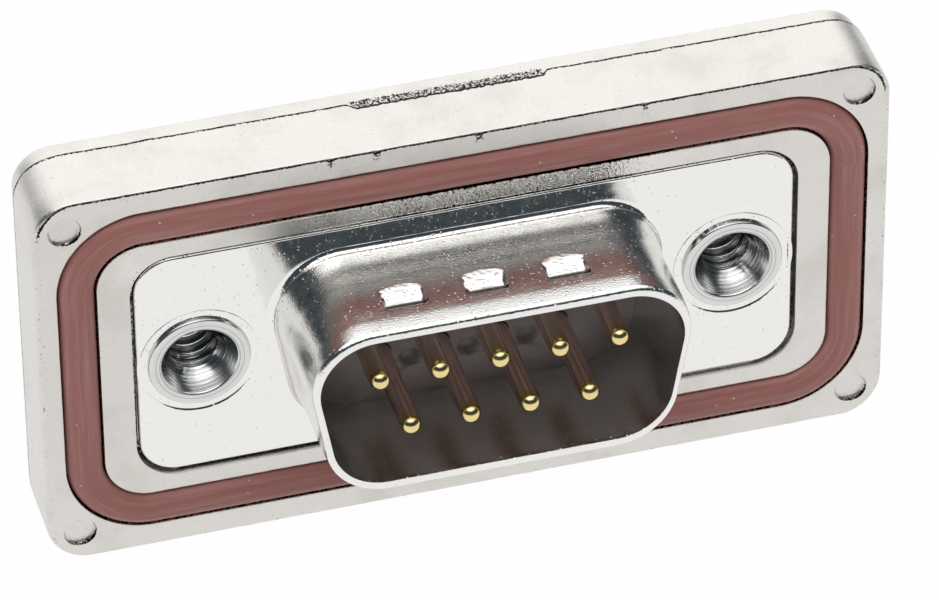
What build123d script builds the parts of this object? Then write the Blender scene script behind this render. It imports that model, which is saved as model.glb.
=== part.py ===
from build123d import *
import os
from math import cos, radians, sqrt, tan

# Sealed nine-way panel connector with pins, a D-shaped mating shell and solder cups.
# It mates towards -Y. +X runs along the long side and +Z is the side with five pins.
# The origin is the middle of the sealing face, and depth is measured along +Y from it.

# Pins and their rows
pins_wide_row = 5
pin_pitch = 2.77
row_pitch = 2.84
pin_diameter = 1.0
pin_nose_radius = 0.48
pin_nose_taper = 0.3
pin_setback = 0.21
collar_diameter = 1.9
collar_length = 0.8
cup_diameter = 1.65
cup_bore = 1.14
cup_length = 4.7
cup_bore_depth = 3.2
cup_scoop_length = 2.4
cup_scoop_height = 0.15

# Front shell, drawn from steel sheet
shell_wall = 0.35
shell_reach = 5.95
shell_end_margin = 2.92
shell_side_margin = 2.76
shell_slope = 10.0
shell_corner = 2.6
bend_radius = 0.4
lip_end_turn = 0.03
lip_side_turn = 0.19
lip_radius = 0.25
lip_land = 0.3

# Dimples pressed into the long wall of the shell on the side with more pins
dimple_count = 3
dimple_spacing = 3.75
dimple_shift = -0.2
dimple_setback = 2.0
dimple_depth = 0.3
dimple_punch_radius = 1.35
dimple_straight = 0.4

# Flange plates of both shells
flange_ear = 2.88
flange_side_margin = 1.845
flange_corner = 1.8
flange_edge = 0.15
flange_recess = 0.1
flange_gap = 0.175

# Threaded inserts, which also rivet the two flanges together
screw_offset = 4.035
insert_neck = 3.8
insert_body = 4.2
insert_lip = 4.75
insert_lip_height = 0.15
insert_lip_round = 0.12
insert_funnel = 3.5
insert_funnel_end = 2.9
insert_funnel_depth = 0.8
insert_bore = 2.26
insert_stand = 0.3
insert_gap = 0.05
coin_diameter = 5.6
coin_depth = 0.06

# Rear shell, a can behind the flanges
can_wall = 0.45
can_outside = 1.15
can_length = 4.75
can_bend = 0.3
can_edge = 0.4
can_lip_turn = 0.6

# Insulators
insulator_gap = 0.1
insulator_seat_gap = 0.02
insulator_split = 2.9
pin_hole_gap = 0.05
rear_tower_stand = 0.75
core_hole_diameter = 1.05
core_hole_depth = 0.5
core_hole_drop = 0.6

# Die-cast frame
frame_depth = 4.8
frame_corner = 2.0
band_depth = 3.65
strip_inset = 0.15
frame_front_edge = 0.15
frame_back_edge = 0.3
floor_thickness = 1.55
window_gap = 0.15
window_lead = 0.35
recess_wall = 2.1
recess_corner = 1.6
boss_diameter = 6.4
boss_low = 0.4
mark_diameter = 1.5
mark_depth = 0.2
mark_inset = 1.5
gate_length = 9.3
gate_width = 0.35

# Gasket and its groove
rim_end = 1.5
rim_side = 0.9
groove_width = 1.8
groove_depth = 1.3
groove_corner = 4.0
land_end = 1.0
land_side = 1.2
gasket_gap = 0.05
gasket_proud = 0.35
gasket_crown = 0.75

# Sealing compound poured into the back
compound_low = 0.6

# Sizes that follow from the ones above
shell_width = (pins_wide_row - 1) * pin_pitch + 2 * shell_end_margin
shell_height = row_pitch + 2 * shell_side_margin
insert_spacing = shell_width + 2 * screw_offset
flange_length = insert_spacing + 2 * flange_ear
flange_height = shell_height + 2 * flange_side_margin
pocket_length = flange_length + 2 * flange_gap
pocket_height = flange_height + 2 * flange_gap
groove_in_length = pocket_length + 2 * rim_end
groove_in_height = pocket_height + 2 * rim_side
groove_out_length = groove_in_length + 2 * groove_width
groove_out_height = groove_in_height + 2 * groove_width
frame_length = groove_out_length + 2 * land_end
frame_height = groove_out_height + 2 * land_side
recess_length = frame_length - 2 * recess_wall
recess_height = frame_height - 2 * recess_wall

# Depths of the faces, from the front to the back
shell_front = flange_recess - shell_reach
pin_tip = shell_front + pin_setback
flange_front = flange_recess
flange_back = flange_front + shell_wall
pocket_floor = flange_back + can_wall
recess_floor = pocket_floor + floor_thickness
boss_back = frame_depth - boss_low
compound_back = frame_depth - compound_low
can_back = flange_back + can_length
insulator_back = can_back - can_wall
tower_back = can_back + rear_tower_stand
insert_back = frame_depth + insert_stand
cup_back = tower_back + cup_length

# Where a shoulder can_shoulder outside the D meets the inner curve of the front shell
can_inside = can_outside - can_wall
can_shoulder = can_inside - insulator_gap
inner_bend = bend_radius + shell_wall
bend_reach = max(0.0, inner_bend - can_shoulder)
bend_rise = inner_bend - sqrt(inner_bend**2 - bend_reach**2)
shoulder_front = flange_back - bend_rise + insulator_seat_gap

screw_places = [(-insert_spacing / 2, 0), (insert_spacing / 2, 0)]
wide_row = [((i - (pins_wide_row - 1) / 2) * pin_pitch, row_pitch / 2) for i in range(pins_wide_row)]
narrow_row = [(x + pin_pitch / 2, -row_pitch / 2) for x, z in wide_row[:-1]]
core_places = [(x, -row_pitch / 2 - core_hole_drop) for x, z in wide_row[1:-1]]


def facing(depth):
    """The plane across the mating axis at this depth, seen from the mating side."""
    return Plane.XZ.offset(-depth)


def d_face(grow, lower=0.0):
    """The D inside the mating shell, grown by grow all round, then lower by lower on each long side."""
    half = shell_height / 2
    lean = tan(radians(shell_slope))
    secant = 1 / cos(radians(shell_slope))
    middle = shell_width / 2 - (half - shell_corner) * lean + shell_corner * (secant - 1)
    tall = half + grow - lower
    wide = middle + grow * secant
    with BuildSketch() as outline:
        with BuildLine():
            Polyline(
                (-wide - tall * lean, tall),
                (wide + tall * lean, tall),
                (wide - tall * lean, -tall),
                (-wide + tall * lean, -tall),
                close=True,
            )
        make_face()
        fillet(outline.vertices(), shell_corner + grow)
    return outline.sketch


def capsule(radius):
    """A punch with a straight middle and round ends, lying along X at the origin."""
    half = dimple_straight / 2
    with BuildPart() as body:
        with BuildSketch():
            with BuildLine():
                CenterArc((half, 0), radius, 0, 90)
                Line((half, radius), (-half, radius))
                CenterArc((-half, 0), radius, 90, 90)
                Line((-half - radius, 0), (half + radius, 0))
            make_face()
        revolve(axis=Axis.X)
    return body.part


def dimple_bulge():
    """The inside of a dimple: the punch grown by the wall, below the middle of the wall."""
    wall_outside = dimple_punch_radius - dimple_depth
    with BuildPart() as bulge:
        add(capsule(dimple_punch_radius + shell_wall))
        split(bisect_by=Plane.XY.offset(-wall_outside - shell_wall / 2), keep=Keep.BOTTOM)
    return bulge.part


def make_frame():
    """The casting: sealing face, gasket groove, pocket, window, bosses and a recessed back."""
    with BuildPart() as frame:
        with BuildSketch(facing(band_depth)):
            RectangleRounded(frame_length, frame_height, frame_corner)
        extrude(amount=band_depth)
        fillet(frame.faces().sort_by(Axis.Y)[0].edges(), frame_front_edge)
        with BuildSketch(facing(frame_depth)):
            RectangleRounded(
                frame_length - 2 * strip_inset,
                frame_height - 2 * strip_inset,
                frame_corner - strip_inset,
            )
        extrude(amount=frame_depth - band_depth)
        fillet(frame.faces().sort_by(Axis.Y)[-1].edges(), frame_back_edge)

        # Gasket groove
        with BuildSketch(facing(groove_depth)):
            RectangleRounded(groove_out_length, groove_out_height, groove_corner)
            RectangleRounded(
                groove_in_length,
                groove_in_height,
                groove_corner - groove_width,
                mode=Mode.SUBTRACT,
            )
        extrude(amount=groove_depth, mode=Mode.SUBTRACT)

        # Pocket for the two flanges
        with BuildSketch(facing(pocket_floor)):
            RectangleRounded(pocket_length, pocket_height, flange_corner + flange_gap)
        extrude(amount=pocket_floor, mode=Mode.SUBTRACT)

        # Recess in the back, with a boss round each insert
        with BuildSketch(facing(frame_depth)):
            RectangleRounded(recess_length, recess_height, recess_corner)
        extrude(amount=frame_depth - recess_floor, mode=Mode.SUBTRACT)
        with BuildSketch(facing(boss_back)):
            with Locations(*screw_places):
                Circle(boss_diameter / 2)
        extrude(amount=boss_back - recess_floor)

        # Window for the rear shell, with a lead-in for its bend
        with BuildSketch(facing(frame_depth)):
            add(d_face(can_outside + window_gap))
        extrude(amount=frame_depth - pocket_floor, mode=Mode.SUBTRACT)
        floor_faces = frame.faces().filter_by(Axis.Y).filter_by_position(
            Axis.Y, pocket_floor - window_gap, pocket_floor + window_gap
        )
        window_edges = floor_faces[0].inner_wires().sort_by(SortBy.LENGTH)[-1].edges()
        chamfer(window_edges, window_lead)

        # Bores for the inserts
        with BuildSketch(facing(boss_back)):
            with Locations(*screw_places):
                Circle(insert_body / 2 + insert_gap)
        extrude(amount=boss_back - pocket_floor, mode=Mode.SUBTRACT)

        # Round marks left by the ejector pins, one in each corner of the sealing face
        with BuildSketch(facing(mark_depth)):
            with GridLocations(frame_length - 2 * mark_inset, frame_height - 2 * mark_inset, 2, 2):
                Circle(mark_diameter / 2)
        extrude(amount=mark_depth, mode=Mode.SUBTRACT)

        # The gate was broken off the long wall here, across the parting line
        with BuildSketch(facing(band_depth)):
            with Locations((0, frame_height / 2)):
                Rectangle(gate_length, 2 * strip_inset)
        extrude(amount=gate_width, mode=Mode.SUBTRACT)
    return frame


def make_gasket():
    """The silicone ring in the groove, with a crowned front."""
    with BuildPart() as gasket:
        with BuildSketch(facing(groove_depth)):
            RectangleRounded(
                groove_out_length - 2 * gasket_gap,
                groove_out_height - 2 * gasket_gap,
                groove_corner - gasket_gap,
            )
            RectangleRounded(
                groove_in_length + 2 * gasket_gap,
                groove_in_height + 2 * gasket_gap,
                groove_corner - groove_width + gasket_gap,
                mode=Mode.SUBTRACT,
            )
        extrude(amount=groove_depth + gasket_proud)
        fillet(gasket.faces().sort_by(Axis.Y)[0].edges(), gasket_crown)
    return gasket


def make_front_shell():
    """The mating shell: a flange plate with a drawn D-shaped tube, three dimples and two holes."""
    with BuildPart() as shell:
        with BuildSketch(facing(flange_back)):
            RectangleRounded(flange_length, flange_height, flange_corner)
        extrude(amount=shell_wall)
        fillet(shell.faces().sort_by(Axis.Y)[0].edges(), flange_edge)

        # Outside of the tube, its turned-in lip and the bend where it leaves the flange
        with BuildSketch(facing(flange_front)):
            add(d_face(shell_wall))
        extrude(amount=shell_reach)
        level_faces = shell.faces().filter_by(Axis.Y).sort_by(Axis.Y)
        fillet(level_faces[1].inner_wires()[0].edges(), bend_radius)
        fillet(shell.faces().filter_by(Axis.Y).sort_by(Axis.Y)[0].edges(), lip_radius)

        # Inside of the tube, then the smaller opening through the lip
        with BuildSketch(facing(flange_back)):
            add(d_face(0))
        extrude(amount=shell_reach + shell_wall - lip_land, mode=Mode.SUBTRACT)
        with BuildSketch(facing(flange_back)):
            add(d_face(-lip_end_turn, lip_side_turn - lip_end_turn))
        extrude(amount=shell_reach + shell_wall, mode=Mode.SUBTRACT)
        fillet(shell.faces().filter_by(Axis.Y).sort_by(Axis.Y)[-1].inner_wires()[0].edges(), inner_bend)

        # Dimples, each a bulge inside the wall and a dent outside it
        dimple_height = shell_height / 2 + shell_wall - dimple_depth + dimple_punch_radius
        dimple_middle = shell_front + dimple_setback
        dimple_run = [
            (i - (dimple_count - 1) / 2) * dimple_spacing + dimple_shift for i in range(dimple_count)
        ]
        with Locations(*[(x, dimple_middle, dimple_height) for x in dimple_run]):
            add(dimple_bulge())
            add(capsule(dimple_punch_radius), mode=Mode.SUBTRACT)

        # Holes for the inserts, and the ring coined round each
        with BuildSketch(facing(flange_back)):
            with Locations(*screw_places):
                Circle(insert_neck / 2 + insert_gap)
        extrude(amount=shell_wall, mode=Mode.SUBTRACT)
        with BuildSketch(facing(flange_front + coin_depth)):
            with Locations(*screw_places):
                Circle(coin_diameter / 2)
        extrude(amount=coin_depth, mode=Mode.SUBTRACT)
    return shell


def make_rear_shell():
    """The can behind the flanges, with a turned-in lip that holds the insulators."""
    with BuildPart() as shell:
        with BuildSketch(facing(pocket_floor)):
            RectangleRounded(flange_length, flange_height, flange_corner)
        extrude(amount=can_wall)
        with BuildSketch(facing(can_back)):
            add(d_face(can_outside))
        extrude(amount=can_back - pocket_floor)
        level_faces = shell.faces().filter_by(Axis.Y).sort_by(Axis.Y)
        fillet(level_faces[1].inner_wires()[0].edges(), can_bend)
        fillet(shell.faces().sort_by(Axis.Y)[-1].edges(), can_edge)
        with BuildSketch(facing(insulator_back)):
            add(d_face(can_inside))
        extrude(amount=insulator_back - flange_back, mode=Mode.SUBTRACT)
        with BuildSketch(facing(can_back)):
            add(d_face(can_inside - can_lip_turn))
        extrude(amount=can_wall, mode=Mode.SUBTRACT)
        with BuildSketch(facing(pocket_floor)):
            with Locations(*screw_places):
                Circle(insert_neck / 2 + insert_gap)
        extrude(amount=can_wall, mode=Mode.SUBTRACT)
    return shell


def make_front_insulator():
    """The moulding that the pins pass through, its nose in the mouth of the mating shell."""
    with BuildPart() as block:
        with BuildSketch(facing(insulator_split)):
            add(d_face(can_shoulder))
        extrude(amount=insulator_split - shoulder_front)
        with BuildSketch(facing(shoulder_front)):
            add(d_face(-insulator_gap))
        extrude(amount=shoulder_front - flange_front)
        with BuildSketch(facing(insulator_split)):
            with Locations(*wide_row, *narrow_row):
                Circle(pin_diameter / 2 + pin_hole_gap)
        extrude(amount=insulator_split - flange_front, mode=Mode.SUBTRACT)
        with BuildSketch(facing(insulator_split)):
            with Locations(*wide_row, *narrow_row):
                Circle(collar_diameter / 2 + pin_hole_gap)
        extrude(amount=collar_length, mode=Mode.SUBTRACT)
        with BuildSketch(facing(flange_front + core_hole_depth)):
            with Locations(*core_places):
                Circle(core_hole_diameter / 2)
        extrude(amount=core_hole_depth, mode=Mode.SUBTRACT)
    return block


def make_rear_insulator():
    """The moulding behind the collars of the pins, its tower standing out of the rear shell."""
    with BuildPart() as block:
        with BuildSketch(facing(insulator_back - insulator_seat_gap)):
            add(d_face(can_shoulder))
        extrude(amount=insulator_back - insulator_seat_gap - insulator_split)
        with BuildSketch(facing(tower_back)):
            add(d_face(can_inside - can_lip_turn - insulator_gap))
        extrude(amount=tower_back - insulator_split)
        with BuildSketch(facing(tower_back)):
            with Locations(*wide_row, *narrow_row):
                Circle(cup_diameter / 2 + pin_hole_gap)
        extrude(amount=tower_back - insulator_split, mode=Mode.SUBTRACT)
    return block


def make_contact(x, z):
    """A turned pin on the axis through (x, z), with a collar and a scooped solder cup."""
    outward = 1 if z > 0 else -1
    nose_end = pin_tip + pin_nose_radius
    nose_middle = pin_nose_radius * (1 - sqrt(0.5))
    with BuildPart() as contact:
        with BuildSketch(Plane(origin=(x, 0, z), x_dir=(1, 0, 0), z_dir=(0, 0, 1))):
            with BuildLine():
                ThreePointArc(
                    (0, pin_tip),
                    (pin_nose_radius * sqrt(0.5), pin_tip + nose_middle),
                    (pin_nose_radius, nose_end),
                )
                Polyline(
                    (pin_nose_radius, nose_end),
                    (pin_diameter / 2, nose_end + pin_nose_taper),
                    (pin_diameter / 2, insulator_split - collar_length),
                    (collar_diameter / 2, insulator_split - collar_length),
                    (collar_diameter / 2, insulator_split),
                    (cup_diameter / 2, insulator_split),
                    (cup_diameter / 2, cup_back),
                    (cup_bore / 2, cup_back),
                    (cup_bore / 2, cup_back - cup_bore_depth),
                    (0, cup_back - cup_bore_depth),
                    (0, pin_tip),
                )
            make_face()
        revolve(axis=Axis(origin=(x, 0, z), direction=(0, 1, 0)))
        with BuildSketch(Plane(origin=(x, cup_back, z), x_dir=(0, -1, 0), z_dir=(-1, 0, 0))):
            with BuildLine():
                Polyline(
                    (0, outward * cup_scoop_height),
                    (cup_scoop_length - cup_diameter / 2, outward * cup_scoop_height),
                    (cup_scoop_length, outward * cup_diameter),
                    (0, outward * cup_diameter),
                    close=True,
                )
            make_face()
        extrude(amount=cup_diameter, both=True, mode=Mode.SUBTRACT)
    return contact


def make_insert(x):
    """A turned insert on the screw axis at x: rolled lip, funnel, bore, neck and body."""
    lip_front = flange_front - insert_lip_height
    lip_back = flange_front + coin_depth
    chamfer_run = (insert_funnel_end - insert_bore) / 2
    with BuildPart() as insert:
        with BuildSketch(Plane(origin=(x, 0, 0), x_dir=(1, 0, 0), z_dir=(0, 0, 1))):
            with BuildLine():
                Polyline(
                    (insert_bore / 2, insert_back),
                    (insert_bore / 2, lip_front + insert_funnel_depth + chamfer_run),
                    (insert_funnel_end / 2, lip_front + insert_funnel_depth),
                    (insert_funnel / 2, lip_front),
                    (insert_lip / 2, lip_front),
                    (insert_lip / 2, lip_back),
                    (insert_neck / 2, lip_back),
                    (insert_neck / 2, pocket_floor),
                    (insert_body / 2, pocket_floor),
                    (insert_body / 2, insert_back),
                    close=True,
                )
            make_face()
        revolve(axis=Axis(origin=(x, 0, 0), direction=(0, 1, 0)))
        fillet(insert.faces().sort_by(Axis.Y)[0].edges(), insert_lip_round)
    return insert


def make_sealing_compound():
    """The compound that fills the back round the rear shell and the bosses."""
    with BuildPart() as compound:
        with BuildSketch(facing(compound_back)):
            RectangleRounded(recess_length, recess_height, recess_corner)
            add(d_face(can_outside), mode=Mode.SUBTRACT)
            with Locations(*screw_places):
                Circle(boss_diameter / 2, mode=Mode.SUBTRACT)
        extrude(amount=compound_back - recess_floor)
    return compound


pieces = {
    "frame": make_frame(),
    "gasket": make_gasket(),
    "front_shell": make_front_shell(),
    "rear_shell": make_rear_shell(),
    "front_insulator": make_front_insulator(),
    "rear_insulator": make_rear_insulator(),
    "insert_left": make_insert(-insert_spacing / 2),
    "insert_right": make_insert(insert_spacing / 2),
    "sealing_compound": make_sealing_compound(),
}
for number, (x, z) in enumerate(wide_row + narrow_row, start=1):
    pieces[f"contact_{number}"] = make_contact(x, z)

os.makedirs("parts", exist_ok=True)
for name, piece in pieces.items():
    piece.part.label = name
    export_step(piece.part, f"parts/{name}.step")
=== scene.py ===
import math

import bmesh
import bpy
import numpy as np
from bpy.props import FloatProperty, FloatVectorProperty, IntProperty, PointerProperty
from bpy.types import Operator, Panel, PropertyGroup
from mathutils import Matrix, Vector, noise
from mathutils.geometry import delaunay_2d_cdt


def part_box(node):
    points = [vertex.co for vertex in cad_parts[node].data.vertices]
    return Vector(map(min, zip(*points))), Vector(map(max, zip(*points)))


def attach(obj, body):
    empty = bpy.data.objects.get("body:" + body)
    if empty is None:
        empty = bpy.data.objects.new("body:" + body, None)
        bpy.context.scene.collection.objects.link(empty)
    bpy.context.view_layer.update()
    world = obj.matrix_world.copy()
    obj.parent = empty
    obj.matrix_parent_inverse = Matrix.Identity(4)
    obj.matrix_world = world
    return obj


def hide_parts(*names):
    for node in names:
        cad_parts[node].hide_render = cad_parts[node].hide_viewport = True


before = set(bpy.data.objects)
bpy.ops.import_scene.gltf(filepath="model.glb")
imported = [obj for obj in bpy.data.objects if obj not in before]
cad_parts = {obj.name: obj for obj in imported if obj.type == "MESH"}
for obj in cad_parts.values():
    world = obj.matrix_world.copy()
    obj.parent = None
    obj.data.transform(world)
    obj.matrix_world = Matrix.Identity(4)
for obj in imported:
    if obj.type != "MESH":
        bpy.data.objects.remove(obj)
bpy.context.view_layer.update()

bl_info = {
    "name": "Sealed panel connector",
    "version": (1, 0, 0),
    "blender": (4, 5, 0),
    "location": "View3D > Sidebar > Connector",
    "description": "Builds the looks of a sealed panel connector round its solids",
    "category": "Object",
}

CASTING_LOW, CASTING_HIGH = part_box("frame")
SHELL_LOW, SHELL_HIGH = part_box("front_shell")
GASKET_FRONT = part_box("gasket")[0].y
INSERT_LOW, INSERT_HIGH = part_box("insert_right")
INSERT_AXIS = (INSERT_LOW.x + INSERT_HIGH.x) / 2
PIN_LOW, PIN_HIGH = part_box("contact_1")
BLOCK_LOW, BLOCK_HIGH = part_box("front_insulator")


# Sizes and colours

def mm(value):
    """Millimetres to metres."""
    return value / 1000


# Points along the casting's long and short sides, close enough for its parting line to wander
CASTING_POINTS = (440, 150)

# A narrow flat strip kept beside a worn edge, so that the face next to it shades flat
LAND = mm(0.05)

# Seeds of the wandering lines, so that every run draws the same ones
SEEDS = {
    "front edge": 3.0, "parting line": 11.0, "gate chips": 17.0, "ridge": 23.0, "gate break": 29.0,
    "groove outer": 31.0, "groove inner": 37.0, "pocket": 41.0, "dimple ends": 7.0, "dimple crease": 3.0,
}


def linear(code):
    """An sRGB hex colour as the linear colour that Blender works in."""
    shares = [int(code[i:i + 2], 16) / 255 for i in (1, 3, 5)]
    return [s / 12.92 if s <= 0.04045 else ((s + 0.055) / 1.055) ** 2.4 for s in shares]


WHITE = linear("#FFFFFF")


def length_property(name, description, metres):
    """A length that a user can change, in metres."""
    return FloatProperty(name=name, description=description, default=metres, unit="LENGTH", precision=6)


def colour_property(name, description, code):
    """A colour that a user can change, given as sRGB hex."""
    return FloatVectorProperty(
        name=name, description=description, default=linear(code), subtype="COLOR", min=0, max=1
    )


class CastingSizes(PropertyGroup):
    length: length_property("Length", "Long side of the casting", CASTING_HIGH.x - CASTING_LOW.x)
    height: length_property("Height", "Short side of the casting", CASTING_HIGH.z - CASTING_LOW.z)
    depth: length_property("Depth", "From the sealing face to the back", CASTING_HIGH.y)
    corner: length_property("Corner", "Radius of the outer corners", mm(2.0))
    band_depth: length_property("Band depth", "From the sealing face to the parting line", mm(3.65))
    step: length_property("Step", "How far the rear strip steps in", mm(0.15))
    soft_edge: length_property("Soft edge", "Radius of the front edge at the ends", mm(0.28))
    sharp_edge: length_property("Sharp edge", "Radius of the front edge along the long sides", mm(0.1))
    back_edge: length_property("Back edge", "Radius of the back edge", mm(0.3))
    recess_wall: length_property("Recess wall", "Wall round the recess in the back", mm(2.1))
    recess_corner: length_property("Recess corner", "Radius in the corners of the recess", mm(1.6))
    recess_floor: length_property("Recess floor", "Depth of the recess floor", mm(2.45))
    pocket_length: length_property("Pocket length", "Long side of the flange pocket", mm(31.1))
    pocket_height: length_property("Pocket height", "Short side of the flange pocket", mm(12.4))
    pocket_corner: length_property("Pocket corner", "Radius in the corners of the pocket", mm(1.975))
    pocket_floor: length_property("Pocket floor", "Depth of the pocket floor", mm(0.9))
    groove_length: length_property("Groove length", "Outer long side of the gasket groove", mm(37.7))
    groove_height: length_property("Groove height", "Outer short side of the gasket groove", mm(17.8))
    groove_width: length_property("Groove width", "Width of the gasket groove", mm(1.8))
    groove_depth: length_property("Groove depth", "Depth of the gasket groove", mm(1.3))
    groove_corner: length_property("Groove corner", "Outer radius of the groove's corners", mm(4.0))
    mark: length_property("Ejector mark", "Diameter of the ejector marks", mm(1.5))
    mark_depth: length_property("Mark depth", "Depth of the ejector marks", mm(0.2))
    mark_inset: length_property("Mark inset", "From the casting's sides to a mark's middle", mm(1.5))
    boss: length_property("Boss", "Diameter of the bosses in the back", mm(6.4))
    boss_low: length_property("Boss height", "How far the bosses end below the back", mm(0.4))
    gate_width: length_property(
        "Gate width", "How far the broken gate reaches past the parting line", mm(0.35)
    )
    gate_left: length_property("Gate left", "Left end of the broken gate", mm(-4.5))
    gate_right: length_property("Gate right", "Right end of the broken gate", mm(4.75))
    window_clear: length_property("Window", "How far the window stands off the D of the shell", mm(1.3))
    bore_clear: length_property("Bore gap", "Gap round the inserts in the casting", mm(0.05))


class ShellSizes(PropertyGroup):
    width: length_property("Width", "Inside width of the D", mm(16.92))
    height: length_property("Height", "Inside height of the D", mm(8.36))
    corner: length_property("Corner", "Inside radius of the D's corners", mm(2.6))
    slope: FloatProperty(
        name="Slope", description="Lean of the D's ends", default=math.radians(10), subtype="ANGLE"
    )
    wall: length_property("Wall", "Sheet thickness", mm(0.35))
    front: length_property("Front", "Depth of the shell's front", SHELL_LOW.y)
    flange_front: length_property("Flange front", "Depth of the flange's front", mm(0.1))
    flange_length: length_property("Flange length", "Long side of the flange", SHELL_HIGH.x - SHELL_LOW.x)
    flange_height: length_property(
        "Flange height", "Short side of the flange", SHELL_HIGH.z - SHELL_LOW.z
    )
    flange_corner: length_property("Flange corner", "Radius of the flange's corners", mm(1.8))
    flange_edge: length_property("Flange edge", "Rounding of the flange's rim", mm(0.15))
    bend: length_property("Bend", "Outer radius of the bend into the flange", mm(0.4))
    lip_round: length_property("Lip", "Outer radius of the turned front lip", mm(0.25))
    lip_end_turn: length_property("Lip end turn", "How far the lip turns in at the D's ends", mm(0.03))
    lip_side_turn: length_property(
        "Lip side turn", "How far the lip turns in along the D's long sides", mm(0.19)
    )
    lip_land: length_property("Lip land", "Length of the narrower mouth", mm(0.3))
    flare: length_property("Flare", "How much the drawn tube widens towards the flange", mm(0.15))
    flare_length: length_property("Flare length", "Length over which the tube widens", mm(1.7))
    lean: length_property("Lean", "How much the tube narrows towards the lip", mm(0.05))
    lean_length: length_property("Lean length", "Length over which the tube narrows", mm(0.75))
    coin: length_property("Coin", "Diameter of the ring coined round each insert", mm(5.6))
    coin_depth: length_property("Coin depth", "Depth of the coined rings", mm(0.06))
    hole: length_property("Hole", "Diameter of the flange's holes", mm(3.9))
    dimple_spacing: length_property("Dimple spacing", "From one dimple to the next", mm(3.75))
    dimple_shift: length_property(
        "Dimple shift", "How far the row of dimples stands off the middle", mm(-0.2)
    )
    dimple_setback: length_property(
        "Dimple setback", "From the shell's front to the dimples' lowest line", mm(2.1)
    )
    dimple_depth: length_property("Dimple depth", "Depth of the dimples", mm(0.28))
    dimple_width: length_property("Dimple width", "Width of the dimples", mm(1.95))
    dimple_ramp: length_property("Dimple ramp", "Length of the slope behind the lowest line", mm(1.15))
    dimple_front: length_property(
        "Dimple front", "Length of the steep side ahead of the lowest line", mm(0.6)
    )


class TurnedSizes(PropertyGroup):
    pitch: length_property("Pin pitch", "From one pin to the next", mm(2.77))
    row_pitch: length_property("Row pitch", "From one row to the other", mm(2.84))
    wide_row: IntProperty(name="Wide row", description="Pins in the longer row", default=5, min=2)
    tip: length_property("Pin tip", "Depth of the pins' tips", PIN_LOW.y)
    pin: length_property("Pin", "Diameter of a pin", mm(1.0))
    nose: length_property("Nose", "Radius of a pin's nose", mm(0.48))
    taper: length_property("Taper", "Length of the taper behind the nose", mm(0.3))
    collar: length_property("Collar", "Diameter of the collar", mm(1.9))
    split: length_property("Split", "Depth where the insulators meet", BLOCK_HIGH.y)
    collar_length: length_property("Collar length", "Length of the collar", mm(0.8))
    cup: length_property("Cup", "Diameter of the solder cup", mm(1.65))
    cup_bore: length_property("Cup bore", "Bore of the solder cup", mm(1.14))
    cup_back: length_property("Cup back", "Depth of the cups' ends", PIN_HIGH.y)
    cup_depth: length_property("Cup depth", "Depth of the cup's bore", mm(3.2))
    scoop: length_property("Scoop", "Length of the cut that opens the cup", mm(2.4))
    scoop_height: length_property("Scoop height", "Where the cut runs above the axis", mm(0.15))
    screw_spacing: length_property("Screw spacing", "From one insert to the other", mm(24.99))
    neck: length_property("Insert neck", "Diameter through the flanges", mm(3.8))
    body: length_property("Insert body", "Diameter in the casting", mm(4.2))
    lip: length_property("Insert lip", "Diameter of the rolled lip", INSERT_HIGH.x - INSERT_LOW.x)
    lip_round: length_property("Insert lip round", "Rounding of the rolled lip", mm(0.12))
    funnel: length_property("Funnel", "Mouth of the funnel", mm(3.5))
    funnel_end: length_property("Funnel end", "Narrow end of the funnel", mm(2.9))
    funnel_depth: length_property("Funnel depth", "Depth of the funnel", mm(0.8))
    thread_minor: length_property("Thread minor", "Inner diameter of the thread", mm(2.26))
    thread_height: length_property("Thread height", "From the thread's crest to its root", mm(0.27))
    thread_pitch: length_property(
        "Thread pitch", "Pitch of the thread, forty turns to the inch", 0.0254 / 40
    )
    insert_back: length_property("Insert back", "Depth of the inserts' ends", INSERT_HIGH.y)


class Finishes(PropertyGroup):
    casting: colour_property("Casting", "Nickel on the zinc casting", "#DEDBD6")
    casting_dark: colour_property("Casting shade", "Duller patches of the casting", "#CFCCC6")
    # The dark colour of real soiling in pits, and of the painted shade along edges, in grooves and in
    # creases
    shade_and_dirt_colour: colour_property("Dirt", "Dirt in pits and along edges", "#24211F")
    silicone: colour_property("Silicone", "The gasket", "#AF7169")
    silicone_pale: colour_property("Silicone bloom", "Paler streaks of the gasket", "#CFA59E")
    plating: colour_property("Bright plate", "Tin plate on the shells", "#ECEBE8")
    gold: colour_property("Gold", "Gold plate on the contacts", "#E9D69A")
    shaft: colour_property("Shafts", "Thinner gold along the pins, behind their tips", "#E6CFC4")
    insert: colour_property("Insert", "Bright zinc plate on the inserts", "#DADBD9")
    insulator: colour_property("Insulator", "The moulded insulators", "#9F9693")
    compound: colour_property("Compound", "The sealing compound", "#2B2A2C")
    casting_dust: colour_property("Casting dust", "White specks on the casting", "#F3F3F1")
    silicone_dust: colour_property("Gasket dust", "Pale motes on the gasket", "#E1DAD7")
    glass: colour_property("Glass fibre", "Paler clouds in the insulators", "#AAA4A0")
    insulator_dust: colour_property("Insulator dust", "Pale motes on the insulators", "#BCB8B5")


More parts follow.
